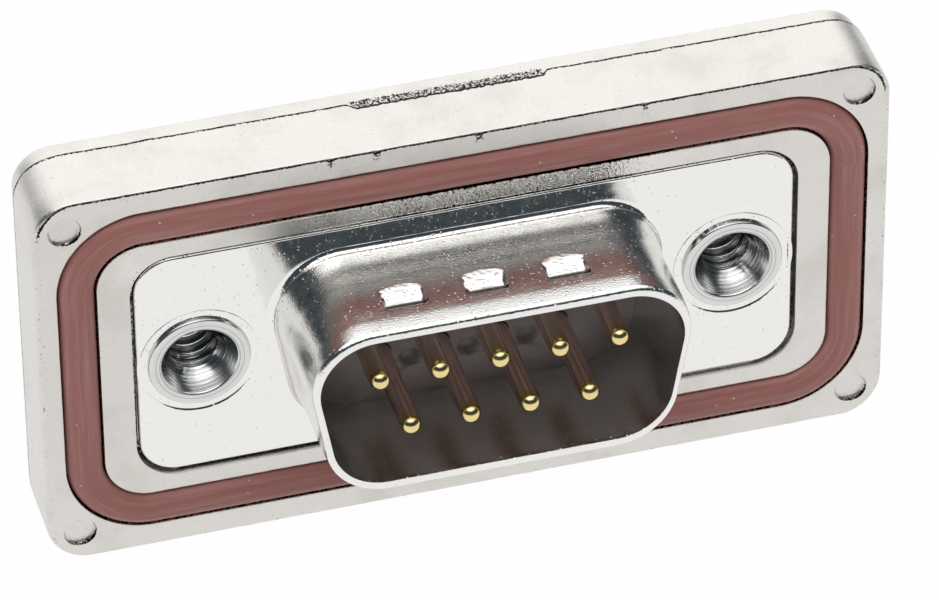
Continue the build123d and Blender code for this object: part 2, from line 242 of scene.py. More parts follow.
class StudioSettings(PropertyGroup):
    distance: length_property("Distance", "From the camera to its aim", 0.32976)
    aim: FloatVectorProperty(
        name="Aim", description="What the camera looks at", default=(mm(0.059), 0, mm(0.71)),
        subtype="TRANSLATION"
    )
    azimuth: FloatProperty(
        name="Azimuth", description="How far the camera stands to the left", default=math.radians(15.447),
        subtype="ANGLE"
    )
    elevation: FloatProperty(
        name="Elevation", description="How high the camera stands", default=math.radians(38.451),
        subtype="ANGLE"
    )
    roll: FloatProperty(
        name="Roll", description="Turn of the camera about its own axis", default=math.radians(-0.604),
        subtype="ANGLE"
    )
    lens: FloatProperty(name="Lens", description="Focal length", default=280.48, min=1)
    sweep: FloatProperty(name="Sweep", description="Brightness of the white room", default=1.3, min=0)
    room: colour_property("Room", "The dark side of the room", "#3E464C")
    floor: colour_property("Floor", "The pale floor", "#F4F4F4")
    floor_glow: FloatProperty(
        name="Floor glow", description="Share of the floor that shows as plain white", default=0.98,
        min=0, max=1
    )
    box_power: FloatProperty(
        name="Softbox", description="Power of the overhead softbox", default=0.4, subtype="POWER", min=0
    )


class ConnectorSettings(PropertyGroup):
    casting: PointerProperty(type=CastingSizes)
    shell: PointerProperty(type=ShellSizes)
    turned: PointerProperty(type=TurnedSizes)
    finishes: PointerProperty(type=Finishes)
    studio: PointerProperty(type=StudioSettings)


# Outlines and skins

def arc_points(centre, radius, start, end, steps):
    """Points on an arc, with the angles in degrees."""
    angles = np.radians(np.linspace(start, end, steps + 1))
    return [(centre[0] + radius * math.cos(a), centre[1] + radius * math.sin(a)) for a in angles]


def outline(corners, straights, arcs):
    """Points and outward normals round straight sides and corner arcs, anticlockwise.

    corners are (x, z, radius, first angle, last angle) in order, starting after the bottom side."""
    points, normals = [], []
    for i, (x, z, radius, first, last) in enumerate(corners):
        before = corners[i - 1]
        angle = math.radians(first)
        normal = (math.cos(angle), math.sin(angle))
        start = (before[0] + before[2] * normal[0], before[1] + before[2] * normal[1])
        end = (x + radius * normal[0], z + radius * normal[1])
        for k in range(straights[i]):
            share = k / straights[i]
            points.append((start[0] + (end[0] - start[0]) * share, start[1] + (end[1] - start[1]) * share))
            normals.append(normal)
        for k in range(arcs):
            angle = math.radians(first + (last - first) * k / arcs)
            normal = (math.cos(angle), math.sin(angle))
            points.append((x + radius * normal[0], z + radius * normal[1]))
            normals.append(normal)
    return np.array(points), np.array(normals)


def rounded_outline(length, height, corner, along=220, across=100, arcs=22):
    """A rounded rectangle in the XZ plane, with as many points whatever its size."""
    x, z = length / 2 - corner, height / 2 - corner
    corners = [
        (x, -z, corner, -90, 0),
        (x, z, corner, 0, 90),
        (-x, z, corner, 90, 180),
        (-x, -z, corner, 180, 270),
    ]
    return outline(corners, [along, across, along, across], arcs)


def d_outline(shell, lower=0.0, along=130, across=34, arcs=30):
    """The D inside the shell, in the XZ plane, with its long sides moved in by lower."""
    slope = math.degrees(shell.slope)
    rise = shell.height / 2 - shell.corner - lower
    top = shell.width / 2 - shell.corner - lower * math.tan(shell.slope)
    bottom = top - 2 * rise * math.tan(shell.slope)
    corners = [
        (bottom, -rise, shell.corner, -90, -slope),
        (top, rise, shell.corner, -slope, 90),
        (-top, rise, shell.corner, 90, 180 + slope),
        (-bottom, -rise, shell.corner, 180 + slope, 270),
    ]
    return outline(corners, [along, across, along, across], arcs)


def circle_outline(x, z, radius, steps=64):
    """A circle in the XZ plane."""
    angles = np.linspace(0, 2 * math.pi, steps, endpoint=False)
    normals = np.column_stack((np.cos(angles), np.sin(angles)))
    return np.array([x, z]) + radius * normals, normals


def ring(base, grow, depth):
    """The outline base, grown by grow, as points in space at this depth. Both may vary round it."""
    points, normals = base
    flat = points + normals * np.reshape(grow, (-1, 1))
    return np.column_stack((flat[:, 0], np.broadcast_to(depth, len(flat)), flat[:, 1]))


def ragged(base, size, amount, seed):
    """A number for each point of an outline that wanders smoothly, up to about amount either way.

    A finer and weaker wander lies on it."""
    finer, weaker, other_seed = 2.7, 0.5, seed + 5
    return np.array([
        amount * (
            noise.noise(Vector((x / size, z / size, seed)))
            + weaker * noise.noise(Vector((finer * x / size, finer * z / size, other_seed)))
        )
        for x, z in base[0]
    ])


def burrs(base, places, size, amount):
    """A number for each point of an outline: a small bump of this height at each of these (x, z) places."""
    points = base[0]
    found = np.zeros(len(points))
    for x, z in places:
        away = np.hypot(points[:, 0] - x, points[:, 1] - z)
        found += amount * np.exp(-(away / size) ** 2)
    return found


def worn_edge(base, side, least, size, amount, seed):
    """Loops from a flat face over its worn edge and down the wall, which base runs along.

    The face lies outside base for side 1 and inside it for -1. The wear is least or more, by up to
    about amount, and changes over this size."""
    wear = least + np.abs(ragged(base, size, amount, seed))
    rounded = 0.3
    return [
        ring(base, side * (wear + LAND), 0),
        ring(base, side * wear, 0),
        ring(base, side * wear * rounded, wear * rounded),
        ring(base, 0, wear),
    ]


class Skin:
    """Loops of points, joined by walls and flat fills into one mesh."""

    def __init__(self):
        self.points = []
        self.dirt_and_shade = []
        self.rubbed = []
        self.faces = []
        self.count = 0

    def loop(self, points, dirt_and_shade=0.0, rubbed=0.0):
        """Adds a closed loop of points, with how dark each is marked, by painted shade and by real soiling,
        and how rubbed each is, and gives their numbers.
        """
        self.points.append(np.asarray(points))
        self.dirt_and_shade.append(np.broadcast_to(dirt_and_shade, len(points)))
        self.rubbed.append(np.broadcast_to(rubbed, len(points)))
        first = self.count
        self.count += len(points)
        return np.arange(first, self.count)

    def wall(self, one, other):
        """Quads between two loops, which need as many points."""
        if len(one) != len(other):
            raise ValueError("a wall needs two loops with as many points")
        after_one, after_other = np.roll(one, -1), np.roll(other, -1)
        self.faces.extend(zip(one, after_one, after_other, other))

    def chain(self, loops, dirt_and_shade=None, rubbed=0.0):
        """Walls from each of these loops to the next, and the numbers of each."""
        shares = dirt_and_shade or [0.0] * len(loops)
        numbers = [self.loop(points, share, rubbed) for points, share in zip(loops, shares)]
        for one, other in zip(numbers, numbers[1:]):
            self.wall(one, other)
        return numbers

    def flat(self, outer, holes=()):
        """Fills the area inside one loop and outside others, which all face along Y."""
        cloud = np.vstack(self.points) * 1000  # millimetres, which suit the triangulation's tolerance
        numbers = np.concatenate([outer, *holes])
        places = [Vector((cloud[n][0], cloud[n][2])) for n in numbers]
        edges, first = [], 0
        for part in [outer, *holes]:
            edges += [(first + k, first + (k + 1) % len(part)) for k in range(len(part))]
            first += len(part)
        made = delaunay_2d_cdt(places, edges, [], 0, 1e-7)
        spots, triangles, sources = made[0], made[2], made[3]
        known = {k: numbers[s[0]] for k, s in enumerate(sources) if s}
        middles = np.array([sum((spots[k] for k in t), Vector((0, 0))) / 3 for t in triangles])
        keep = inside(middles, cloud[outer][:, [0, 2]])
        for hole in holes:
            keep &= ~inside(middles, cloud[hole][:, [0, 2]])
        for t, kept in zip(triangles, keep):
            if kept and all(k in known for k in t):
                self.faces.append(tuple(known[k] for k in t))

    def finish(self, name, materials):
        """The mesh as an object, closed, with its faces outwards."""
        data = bpy.data.meshes.new(name)
        data.from_pydata(np.vstack(self.points).tolist(), [], [list(map(int, f)) for f in self.faces])
        # The dark marks hold painted shade and real soiling together
        for mark, values in (("dirt_and_shade", self.dirt_and_shade), ("rubbed", self.rubbed)):
            data.attributes.new(mark, "FLOAT", "POINT").data.foreach_set("value", np.concatenate(values))
        return finished(name, data, materials)


def inside(spots, polygon):
    """Which of these flat points lie in a polygon."""
    x, y = spots[:, 0], spots[:, 1]
    found = np.zeros(len(spots), bool)
    a, b = polygon, np.roll(polygon, -1, axis=0)
    for (x0, y0), (x1, y1) in zip(a, b):
        if y0 == y1:
            continue
        crosses = (y0 > y) != (y1 > y)
        found ^= crosses & (x < (x1 - x0) * (y - y0) / (y1 - y0) + x0)
    return found


def finished(name, data, materials, crease=32):
    """An object of this mesh: doubles merged, faces outwards, smooth but for its creases."""
    work = bmesh.new()
    work.from_mesh(data)
    bmesh.ops.remove_doubles(work, verts=work.verts, dist=mm(0.0002))
    bmesh.ops.dissolve_degenerate(work, edges=work.edges, dist=mm(0.0001))
    bmesh.ops.recalc_face_normals(work, faces=work.faces)
    work.to_mesh(data)
    work.free()
    data.materials.clear()
    for material in materials:
        data.materials.append(material)
    data.shade_smooth()
    data.set_sharp_from_angle(angle=math.radians(crease))
    made = bpy.data.objects.new(name, data)
    bpy.context.scene.collection.objects.link(made)
    weighted = made.modifiers.new("Weighted normals", "WEIGHTED_NORMAL")
    weighted.keep_sharp = True
    weighted.weight = 50
    settle(made)
    return made


def settle(piece):
    """Turns a piece and its modifiers into a plain mesh."""
    bpy.context.view_layer.update()
    evaluated = piece.evaluated_get(bpy.context.evaluated_depsgraph_get())
    data = bpy.data.meshes.new_from_object(evaluated)
    old = piece.data
    piece.modifiers.clear()
    piece.data = data
    data.name = piece.name
    bpy.data.meshes.remove(old)


def copy_of(node, name, material):
    """A merged copy of a solid, smooth but for its creases."""
    return finished(name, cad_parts[node].data.copy(), [material])


def place(piece, slot, *nodes):
    """Fixes a piece to the body and hides the solids it stands for. The slot, a finish's name, is not used.
    """
    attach(piece, "root")
    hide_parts(*nodes)


# Node trees

def in_use(sockets, name=None):
    """The first socket that the node uses as it is set, of this name if one is given."""
    return next(socket for socket in sockets if socket.enabled and name in (None, socket.name))


def add_node(tree, kind, inputs=None, **settings):
    """Adds a node with its settings. An input takes a value, a socket or another node's result."""
    made = tree.nodes.new(kind)
    for key, value in settings.items():
        setattr(made, key, value)
    for key, value in (inputs or {}).items():
        socket = made.inputs[key] if isinstance(key, int) else in_use(made.inputs, key)
        if isinstance(value, bpy.types.Node):
            value = in_use(value.outputs)
        if isinstance(value, bpy.types.NodeSocket):
            tree.links.new(value, socket)
        else:
            socket.default_value = value
    return made


def repeats(size):
    """The scale of a pattern whose features are this many millimetres across."""
    return 1000 / size


def new_material(name):
    """An empty material, its node tree and its Object coordinates."""
    material = bpy.data.materials.new(name)
    material.use_nodes = True
    tree = material.node_tree
    tree.nodes.clear()
    coordinates = add_node(tree, "ShaderNodeTexCoord")
    return material, tree, coordinates.outputs["Object"]


def finish_material(tree, inputs):
    """The surface shader with these inputs, and the output."""
    shader = add_node(tree, "ShaderNodeBsdfPrincipled", inputs)
    add_node(tree, "ShaderNodeOutputMaterial", {"Surface": shader})


def rgba(colour):
    """A colour property as the four numbers of a colour socket."""
    return (*colour, 1.0)


def specks(tree, spot, spacing, rim, core, most=1.0, shown=None):
    """How far a place lies in one of many specks, up to most, and 0 between them.

    spacing is in millimetres. rim and core are shares of it: how far from a speck's middle it ends, and
    how far it is full. Each speck has a random number, and shown is where the ones that show begin."""
    cells = add_node(tree, "ShaderNodeTexVoronoi", {"Vector": spot, "Scale": repeats(spacing)})
    speck = add_node(tree, "ShaderNodeMapRange", {
        "Value": cells.outputs["Distance"], "From Min": rim, "From Max": core, "To Max": most
    }, interpolation_type="SMOOTHSTEP")
    if shown is None:
        return speck
    few = add_node(tree, "ShaderNodeMapRange", {
        "Value": cells.outputs["Color"], "From Min": shown[0], "From Max": shown[1]
    })
    return add_node(tree, "ShaderNodeMath", {0: speck, 1: few}, operation="MULTIPLY")


def shade_and_dirt_on(tree, base, amount, finishes):
    """This colour darkened towards the dark finish where amount says so: painted shade at some places, real
    soiling at others.
    """
    return add_node(tree, "ShaderNodeMix", {
        "Factor": amount, "A": base, "B": rgba(finishes.shade_and_dirt_colour)
    }, data_type="RGBA")


def nickel_on_zinc(finishes):
    """Nickel plate on a pressure die casting: satin, finely grained and dusty, with real pits, and painted
    shade along its edges, in its grooves and round its marks.
    """
    material, tree, spot = new_material("nickel plated zinc casting")
    clouds = add_node(tree, "ShaderNodeTexNoise", {
        "Vector": spot, "Scale": repeats(3.0), "Detail": 5.0, "Roughness": 0.6
    })
    patches = add_node(tree, "ShaderNodeMapRange", {
        "Value": clouds.outputs["Fac"], "From Min": 0.45, "From Max": 0.7, "To Max": 0.7
    }, interpolation_type="SMOOTHSTEP")
    body = add_node(tree, "ShaderNodeMix", {
        "Factor": patches, "A": rgba(finishes.casting), "B": rgba(finishes.casting_dark)
    }, data_type="RGBA")

    # Dust: small white specks that don't shine
    dust = specks(tree, spot, spacing=0.3, rim=0.17, core=0.06, most=0.8, shown=(0.6, 0.66))

    # Painted shade and soiling: the mesh says where the plate darkens, and a fine noise breaks it up
    crumbs = add_node(tree, "ShaderNodeTexNoise", {
        "Vector": spot, "Scale": repeats(0.14), "Detail": 4.0, "Roughness": 0.7
    })
    marked_shade_and_dirt = add_node(tree, "ShaderNodeAttribute", attribute_name="dirt_and_shade")
    uneven = add_node(tree, "ShaderNodeMapRange", {
        "Value": crumbs.outputs["Fac"], "From Min": 0.3, "From Max": 0.7, "To Min": -0.5, "To Max": 0.5
    })
    polished = add_node(tree, "ShaderNodeAttribute", attribute_name="rubbed")
    # The rubbed land is darkened in a mottle
    rubbed_mottle = 0.44
    on_land = add_node(tree, "ShaderNodeMath", {
        0: polished.outputs["Fac"], 1: rubbed_mottle, 2: uneven
    }, operation="MULTIPLY_ADD")
    total = add_node(tree, "ShaderNodeMath", {0: marked_shade_and_dirt.outputs["Fac"], 1: on_land}, operation="ADD")
    # How far the plate darkens: painted shade along edges, steps, grooves and marks, real soiling at the
    # gate, and the rubbed mottle
    shade_and_dirt_share = add_node(tree, "ShaderNodeMapRange", {
        "Value": total, "From Min": 0.58, "From Max": 0.76
    }, interpolation_type="SMOOTHSTEP")
    pits = add_node(tree, "ShaderNodeMapRange", {
        "Value": crumbs.outputs["Fac"], "From Min": 0.63, "From Max": 0.7, "To Max": 0.45
    }, interpolation_type="SMOOTHSTEP")
    dark = add_node(tree, "ShaderNodeMath", {0: shade_and_dirt_share, 1: pits}, operation="MAXIMUM")
    dusty = add_node(tree, "ShaderNodeMix", {
        "Factor": dust, "A": body, "B": rgba(finishes.casting_dust)
    }, data_type="RGBA")
    colour = shade_and_dirt_on(tree, dusty, dark, finishes)
    metal = add_node(tree, "ShaderNodeMapRange", {"Value": dust, "To Min": 1.0, "To Max": 0.25})

    # Grain of the casting under the plate, and scuffs along it
    grain = add_node(tree, "ShaderNodeTexNoise", {
        "Vector": spot, "Scale": repeats(0.16), "Detail": 5.0, "Roughness": 0.65
    })
    satin = add_node(tree, "ShaderNodeMapRange", {
        "Value": grain.outputs["Fac"], "From Min": 0.3, "From Max": 0.7, "To Min": 0.26, "To Max": 0.42
    })
    roughness = add_node(tree, "ShaderNodeMix", {
        "Factor": polished.outputs["Fac"], "A": satin, "B": 0.13
    })
    dents = add_node(tree, "ShaderNodeTexNoise", {
        "Vector": spot, "Scale": repeats(0.13), "Detail": 2.0, "Roughness": 0.6
    })
    rubbed_dents = add_node(tree, "ShaderNodeMath", {
        0: dents.outputs["Fac"], 1: polished.outputs["Fac"]
    }, operation="MULTIPLY")
    dent_bump = add_node(tree, "ShaderNodeBump", {
        "Strength": 0.8, "Distance": mm(0.05), "Height": rubbed_dents
    })
    scuffs = add_node(tree, "ShaderNodeMapping", {
        "Vector": spot, "Rotation": (0.0, 0.6, 0.0), "Scale": (0.12, 1.0, 1.0)
    })
    scuff = add_node(tree, "ShaderNodeTexNoise", {
        "Vector": scuffs, "Scale": repeats(0.12), "Detail": 3.0, "Roughness": 0.7
    })
    grain_bump = add_node(tree, "ShaderNodeBump", {
        "Strength": 0.45, "Distance": mm(0.02), "Height": grain.outputs["Fac"], "Normal": dent_bump
    })
    scuff_bump = add_node(tree, "ShaderNodeBump", {
        "Strength": 0.15, "Distance": mm(0.01), "Height": scuff.outputs["Fac"], "Normal": grain_bump
    })
    finish_material(tree, {
        "Base Color": colour, "Metallic": metal, "Roughness": roughness,
        "Normal": scuff_bump,
    })
    return material


def bright_plate(finishes):
    """Bright plate on drawn sheet: a near mirror with fine nodules and faint draw marks."""
    material, tree, spot = new_material("bright tin plate on drawn steel")
    nodules = add_node(tree, "ShaderNodeTexNoise", {
        "Vector": spot, "Scale": repeats(0.09), "Detail": 2.0, "Roughness": 0.5
    })
    waves = add_node(tree, "ShaderNodeTexNoise", {
        "Vector": spot, "Scale": repeats(0.9), "Detail": 3.0, "Roughness": 0.55
    })
    grit = specks(tree, spot, spacing=0.22, rim=0.26, core=0.1, shown=(0.5, 0.55))
    rough = add_node(tree, "ShaderNodeMapRange", {
        "Value": waves.outputs["Fac"], "From Min": 0.35, "From Max": 0.65, "To Min": 0.1, "To Max": 0.2
    })

    # The tube has nodules, and the flange has the fine lines of the rolled sheet
    tube_end, flange_start = mm(-0.15), mm(0.08)
    parts = add_node(tree, "ShaderNodeSeparateXYZ", {0: spot})
    on_flange = add_node(tree, "ShaderNodeMapRange", {
        "Value": parts.outputs["Y"], "From Min": tube_end, "From Max": flange_start
    }, interpolation_type="SMOOTHSTEP")
    stretched = add_node(tree, "ShaderNodeMapping", {"Vector": spot, "Scale": (0.05, 1.0, 1.0)})
    lines = add_node(tree, "ShaderNodeTexNoise", {
        "Vector": stretched, "Scale": repeats(0.35), "Detail": 4.0, "Roughness": 0.6
    })
    fine = add_node(tree, "ShaderNodeMix", {
        "Factor": on_flange, "A": nodules.outputs["Fac"], "B": lines.outputs["Fac"]
    })
    gloss = add_node(tree, "ShaderNodeMix", {"Factor": on_flange, "A": rough, "B": 0.08})
    wave_bump = add_node(tree, "ShaderNodeBump", {
        "Strength": 0.25, "Distance": mm(0.02), "Height": waves.outputs["Fac"]
    })
    nodule_bump = add_node(tree, "ShaderNodeBump", {
        "Strength": 0.6, "Distance": mm(0.016), "Height": fine, "Normal": wave_bump
    })
    grit_bump = add_node(tree, "ShaderNodeBump", {
        "Strength": 0.8, "Distance": mm(0.016), "Height": grit, "Normal": nodule_bump
    })

    # Painted shade in the dimples' creases, where the mesh says so
    marked_shade_and_dirt = add_node(tree, "ShaderNodeAttribute", attribute_name="dirt_and_shade")
    shade_and_dirt_share = add_node(tree, "ShaderNodeMapRange", {
        "Value": marked_shade_and_dirt.outputs["Fac"], "From Min": 0.35, "From Max": 0.7, "To Max": 0.9
    }, interpolation_type="SMOOTHSTEP")
    tin = shade_and_dirt_on(tree, rgba(finishes.plating), shade_and_dirt_share, finishes)
    finish_material(tree, {
        "Base Color": tin, "Metallic": 1.0, "Roughness": gloss,
        "Normal": grit_bump,
    })
    return material


def silicone_rubber(finishes):
    """Extruded silicone: satin, with streaks along the cord, faint bloom and pale dust."""
    material, tree, spot = new_material("silicone rubber")
    run = add_node(tree, "ShaderNodeUVMap", uv_map="UVMap")
    stretched = add_node(tree, "ShaderNodeMapping", {"Vector": run, "Scale": (0.05, 1.0, 1.0)})
    streaks = add_node(tree, "ShaderNodeTexNoise", {
        "Vector": stretched, "Scale": repeats(0.3), "Detail": 4.0, "Roughness": 0.6
    })
    motes = specks(tree, spot, spacing=0.7, rim=0.085, core=0.04, shown=(0.5, 0.55))
    bloom = add_node(tree, "ShaderNodeMapRange", {
        "Value": streaks.outputs["Fac"], "From Min": 0.4, "From Max": 0.75, "To Max": 0.4
    }, interpolation_type="SMOOTHSTEP")
    body = add_node(tree, "ShaderNodeMix", {
        "Factor": bloom, "A": rgba(finishes.silicone), "B": rgba(finishes.silicone_pale)
    }, data_type="RGBA")
    colour = add_node(tree, "ShaderNodeMix", {
        "Factor": motes, "A": body, "B": rgba(finishes.silicone_dust)
    }, data_type="RGBA")
    skin = add_node(tree, "ShaderNodeTexNoise", {
        "Vector": spot, "Scale": repeats(0.12), "Detail": 3.0, "Roughness": 0.6
    })
    skin_bump = add_node(tree, "ShaderNodeBump", {
        "Strength": 0.25, "Distance": mm(0.012), "Height": skin.outputs["Fac"]
    })
    streak_bump = add_node(tree, "ShaderNodeBump", {
        "Strength": 0.2, "Distance": mm(0.02), "Height": streaks.outputs["Fac"], "Normal": skin_bump
    })
    finish_material(tree, {
        "Base Color": colour, "Roughness": 0.36, "IOR": 1.41,
        "Normal": streak_bump,
    })
    return material


def gold_plate(finishes):
    """Gold plate on turned brass: polished, with the faint rings that turning leaves."""
    material, tree, spot = new_material("gold plated brass")
    rings = add_node(tree, "ShaderNodeMapping", {"Vector": spot, "Scale": (0.05, 1.0, 0.05)})
    turning = add_node(tree, "ShaderNodeTexNoise", {
        "Vector": rings, "Scale": repeats(0.07), "Detail": 3.0
    })
    turning_bump = add_node(tree, "ShaderNodeBump", {
        "Strength": 0.25, "Distance": mm(0.006), "Height": turning.outputs["Fac"]
    })
    wear = add_node(tree, "ShaderNodeMapRange", {
        "Value": turning.outputs["Fac"], "From Min": 0.3, "From Max": 0.7, "To Min": 0.14, "To Max": 0.24
    })

    # The gold is thinner along the shaft, from behind the tip to the collar
    tip_end, shaft_start, shaft_end, collar_start = mm(-5.1), mm(-4.7), mm(2.0), mm(2.5)
    parts = add_node(tree, "ShaderNodeSeparateXYZ", {0: spot})
    behind = add_node(tree, "ShaderNodeMapRange", {
        "Value": parts.outputs["Y"], "From Min": tip_end, "From Max": shaft_start
    }, interpolation_type="SMOOTHSTEP")
    ahead = add_node(tree, "ShaderNodeMapRange", {
        "Value": parts.outputs["Y"], "From Min": shaft_end, "From Max": collar_start, "To Min": 1.0,
        "To Max": 0.0
    })
    worn_share = add_node(tree, "ShaderNodeMath", {0: behind, 1: ahead}, operation="MULTIPLY")
    plate = add_node(tree, "ShaderNodeMix", {
        "Factor": worn_share, "A": rgba(finishes.gold), "B": rgba(finishes.shaft)
    }, data_type="RGBA")
    finish_material(tree, {
        "Base Color": plate, "Metallic": 1.0, "Roughness": wear,
        "Normal": turning_bump,
    })
    return material


def moulded_insulator(finishes):
    """Glass-filled thermoplastic, moulded: dull sheen, fine texture and a little pale dust."""
    material, tree, spot = new_material("glass filled polyester moulding")
    texture = add_node(tree, "ShaderNodeTexNoise", {
        "Vector": spot, "Scale": repeats(0.15), "Detail": 4.0, "Roughness": 0.6
    })
    motes = specks(tree, spot, spacing=0.8, rim=0.09, core=0.04, most=0.5)
    tint = add_node(tree, "ShaderNodeMapRange", {
        "Value": texture.outputs["Fac"], "From Min": 0.3, "From Max": 0.7, "To Max": 0.06
    })
    body = add_node(tree, "ShaderNodeMix", {
        "Factor": tint, "A": rgba(finishes.insulator), "B": rgba(finishes.glass)
    }, data_type="RGBA")
    colour = add_node(tree, "ShaderNodeMix", {
        "Factor": motes, "A": body, "B": rgba(finishes.insulator_dust)
    }, data_type="RGBA")
    texture_bump = add_node(tree, "ShaderNodeBump", {
        "Strength": 0.3, "Distance": mm(0.012), "Height": texture.outputs["Fac"]
    })
    finish_material(tree, {
        "Base Color": colour, "Roughness": 0.5, "IOR": 1.58, "Normal": texture_bump,
    })
    return material


def turned_steel(finishes):
    """Bright zinc plate on turned steel: bluish, with the fine rings of the tool."""
    material, tree, spot = new_material("zinc plated turned steel")

    # Distance from the axis of the nearer insert, which the rings follow
    parts = add_node(tree, "ShaderNodeSeparateXYZ", {0: spot})
    side = add_node(tree, "ShaderNodeMath", {0: parts.outputs["X"]}, operation="ABSOLUTE")
    axis = add_node(tree, "ShaderNodeMath", {0: side, 1: INSERT_AXIS}, operation="SUBTRACT")
    flat = add_node(tree, "ShaderNodeCombineXYZ", {"X": axis, "Z": parts.outputs["Z"]})
    radius = add_node(tree, "ShaderNodeVectorMath", {0: flat}, operation="LENGTH")
    lathe = add_node(tree, "ShaderNodeCombineXYZ", {
        "X": radius.outputs["Value"], "Y": parts.outputs["Y"]
    })
    rings = add_node(tree, "ShaderNodeTexNoise", {
        "Vector": lathe, "Scale": repeats(0.13), "Detail": 3.0
    }, noise_dimensions="2D")
    stains = add_node(tree, "ShaderNodeTexNoise", {"Vector": spot, "Scale": repeats(0.7), "Detail": 3.0})
    rough = add_node(tree, "ShaderNodeMapRange", {
        "Value": stains.outputs["Fac"], "From Min": 0.35, "From Max": 0.65, "To Min": 0.12, "To Max": 0.26
    })
    ring_bump = add_node(tree, "ShaderNodeBump", {
        "Strength": 0.6, "Distance": mm(0.02), "Height": rings.outputs["Fac"]
    })
    worn_ring = add_node(tree, "ShaderNodeMapRange", {
        "Value": rings.outputs["Fac"], "From Min": 0.5, "From Max": 0.7, "To Max": 0.4
    })
    plate = shade_and_dirt_on(tree, rgba(finishes.insert), worn_ring, finishes)

    # Painted shade in the roots of the thread, deeper in the bore behind the funnel
    crest, root, funnel_end, bore_start = mm(1.17), mm(1.3), mm(0.85), mm(1.0)
    in_root = add_node(tree, "ShaderNodeMapRange", {
        "Value": radius.outputs["Value"], "From Min": crest, "From Max": root
    }, interpolation_type="SMOOTHSTEP")
    in_bore = add_node(tree, "ShaderNodeMapRange", {
        "Value": parts.outputs["Y"], "From Min": funnel_end, "From Max": bore_start, "To Max": 0.85
    })
    thread_shade = add_node(tree, "ShaderNodeMath", {0: in_root, 1: in_bore}, operation="MULTIPLY")
    colour = shade_and_dirt_on(tree, plate, thread_shade, finishes)
    finish_material(tree, {
        "Base Color": colour, "Metallic": 1.0, "Roughness": rough,
        "Normal": ring_bump,
    })
    return material


def cast_epoxy(finishes):
    """Poured epoxy: a skin that is nearly glossy, with slow waves and a few bubbles."""
    material, tree, spot = new_material("cast epoxy compound")
    waves = add_node(tree, "ShaderNodeTexNoise", {"Vector": spot, "Scale": repeats(3.0), "Detail": 2.0})
    bubbles = add_node(tree, "ShaderNodeTexVoronoi", {
        "Vector": spot, "Scale": repeats(1.6), "Smoothness": 0.2
    }, feature="SMOOTH_F1")
    bubble = add_node(tree, "ShaderNodeMapRange", {
        "Value": bubbles.outputs["Distance"], "From Min": 0.12, "From Max": 0.05
    }, interpolation_type="SMOOTHSTEP")
    wave_bump = add_node(tree, "ShaderNodeBump", {
        "Strength": 0.4, "Distance": mm(0.15), "Height": waves.outputs["Fac"]
    })
    bubble_bump = add_node(tree, "ShaderNodeBump", {
        "Strength": 0.6, "Distance": mm(0.05), "Height": bubble, "Normal": wave_bump
    }, invert=True)
    finish_material(tree, {
        "Base Color": rgba(finishes.compound), "Roughness": 0.28, "IOR": 1.55, "Normal": bubble_bump,
    })
    return material


def material_of(maker, finishes):
    """The material that this function makes, made once."""
    name = "made_by_" + maker.__name__
    found = bpy.context.scene.get(name)
    if found is None:
        bpy.context.scene[name] = maker(finishes).name
    return bpy.data.materials[bpy.context.scene[name]]


# Geometry Nodes

def new_geometry_tree(name, inputs):
    """A geometry tree with these named inputs, and its input node."""
    tree = bpy.data.node_groups.new(name, "GeometryNodeTree")
    tree.interface.new_socket(name="Geometry", in_out="OUTPUT", socket_type="NodeSocketGeometry")
    tree.interface.new_socket(name="Geometry", in_out="INPUT", socket_type="NodeSocketGeometry")
    for label, kind in inputs.items():
        tree.interface.new_socket(name=label, in_out="INPUT", socket_type="NodeSocket" + kind)
    start = add_node(tree, "NodeGroupInput")
    return tree, start


def end_geometry_tree(tree, start, geometry):
    """Realize Instances, Set Material and the output."""
    real = add_node(tree, "GeometryNodeRealizeInstances", {"Geometry": geometry})
    painted = add_node(tree, "GeometryNodeSetMaterial", {
        "Geometry": real, "Material": start.outputs["Material"]
    })
    add_node(tree, "NodeGroupOutput", {0: painted})


def grow_with(tree, name, data, values):
    """Runs a geometry tree on a mesh with these input values, and gives the mesh it makes."""
    piece = bpy.data.objects.new(name, data)
    bpy.context.scene.collection.objects.link(piece)
    modifier = piece.modifiers.new(tree.name, "NODES")
    modifier.node_group = tree
    for item in tree.interface.items_tree:
        if item.in_out == "INPUT" and item.name in values:
            modifier[item.identifier] = values[item.name]
    settle(piece)
    made = piece.data.copy()
    bpy.data.objects.remove(piece)
    return made


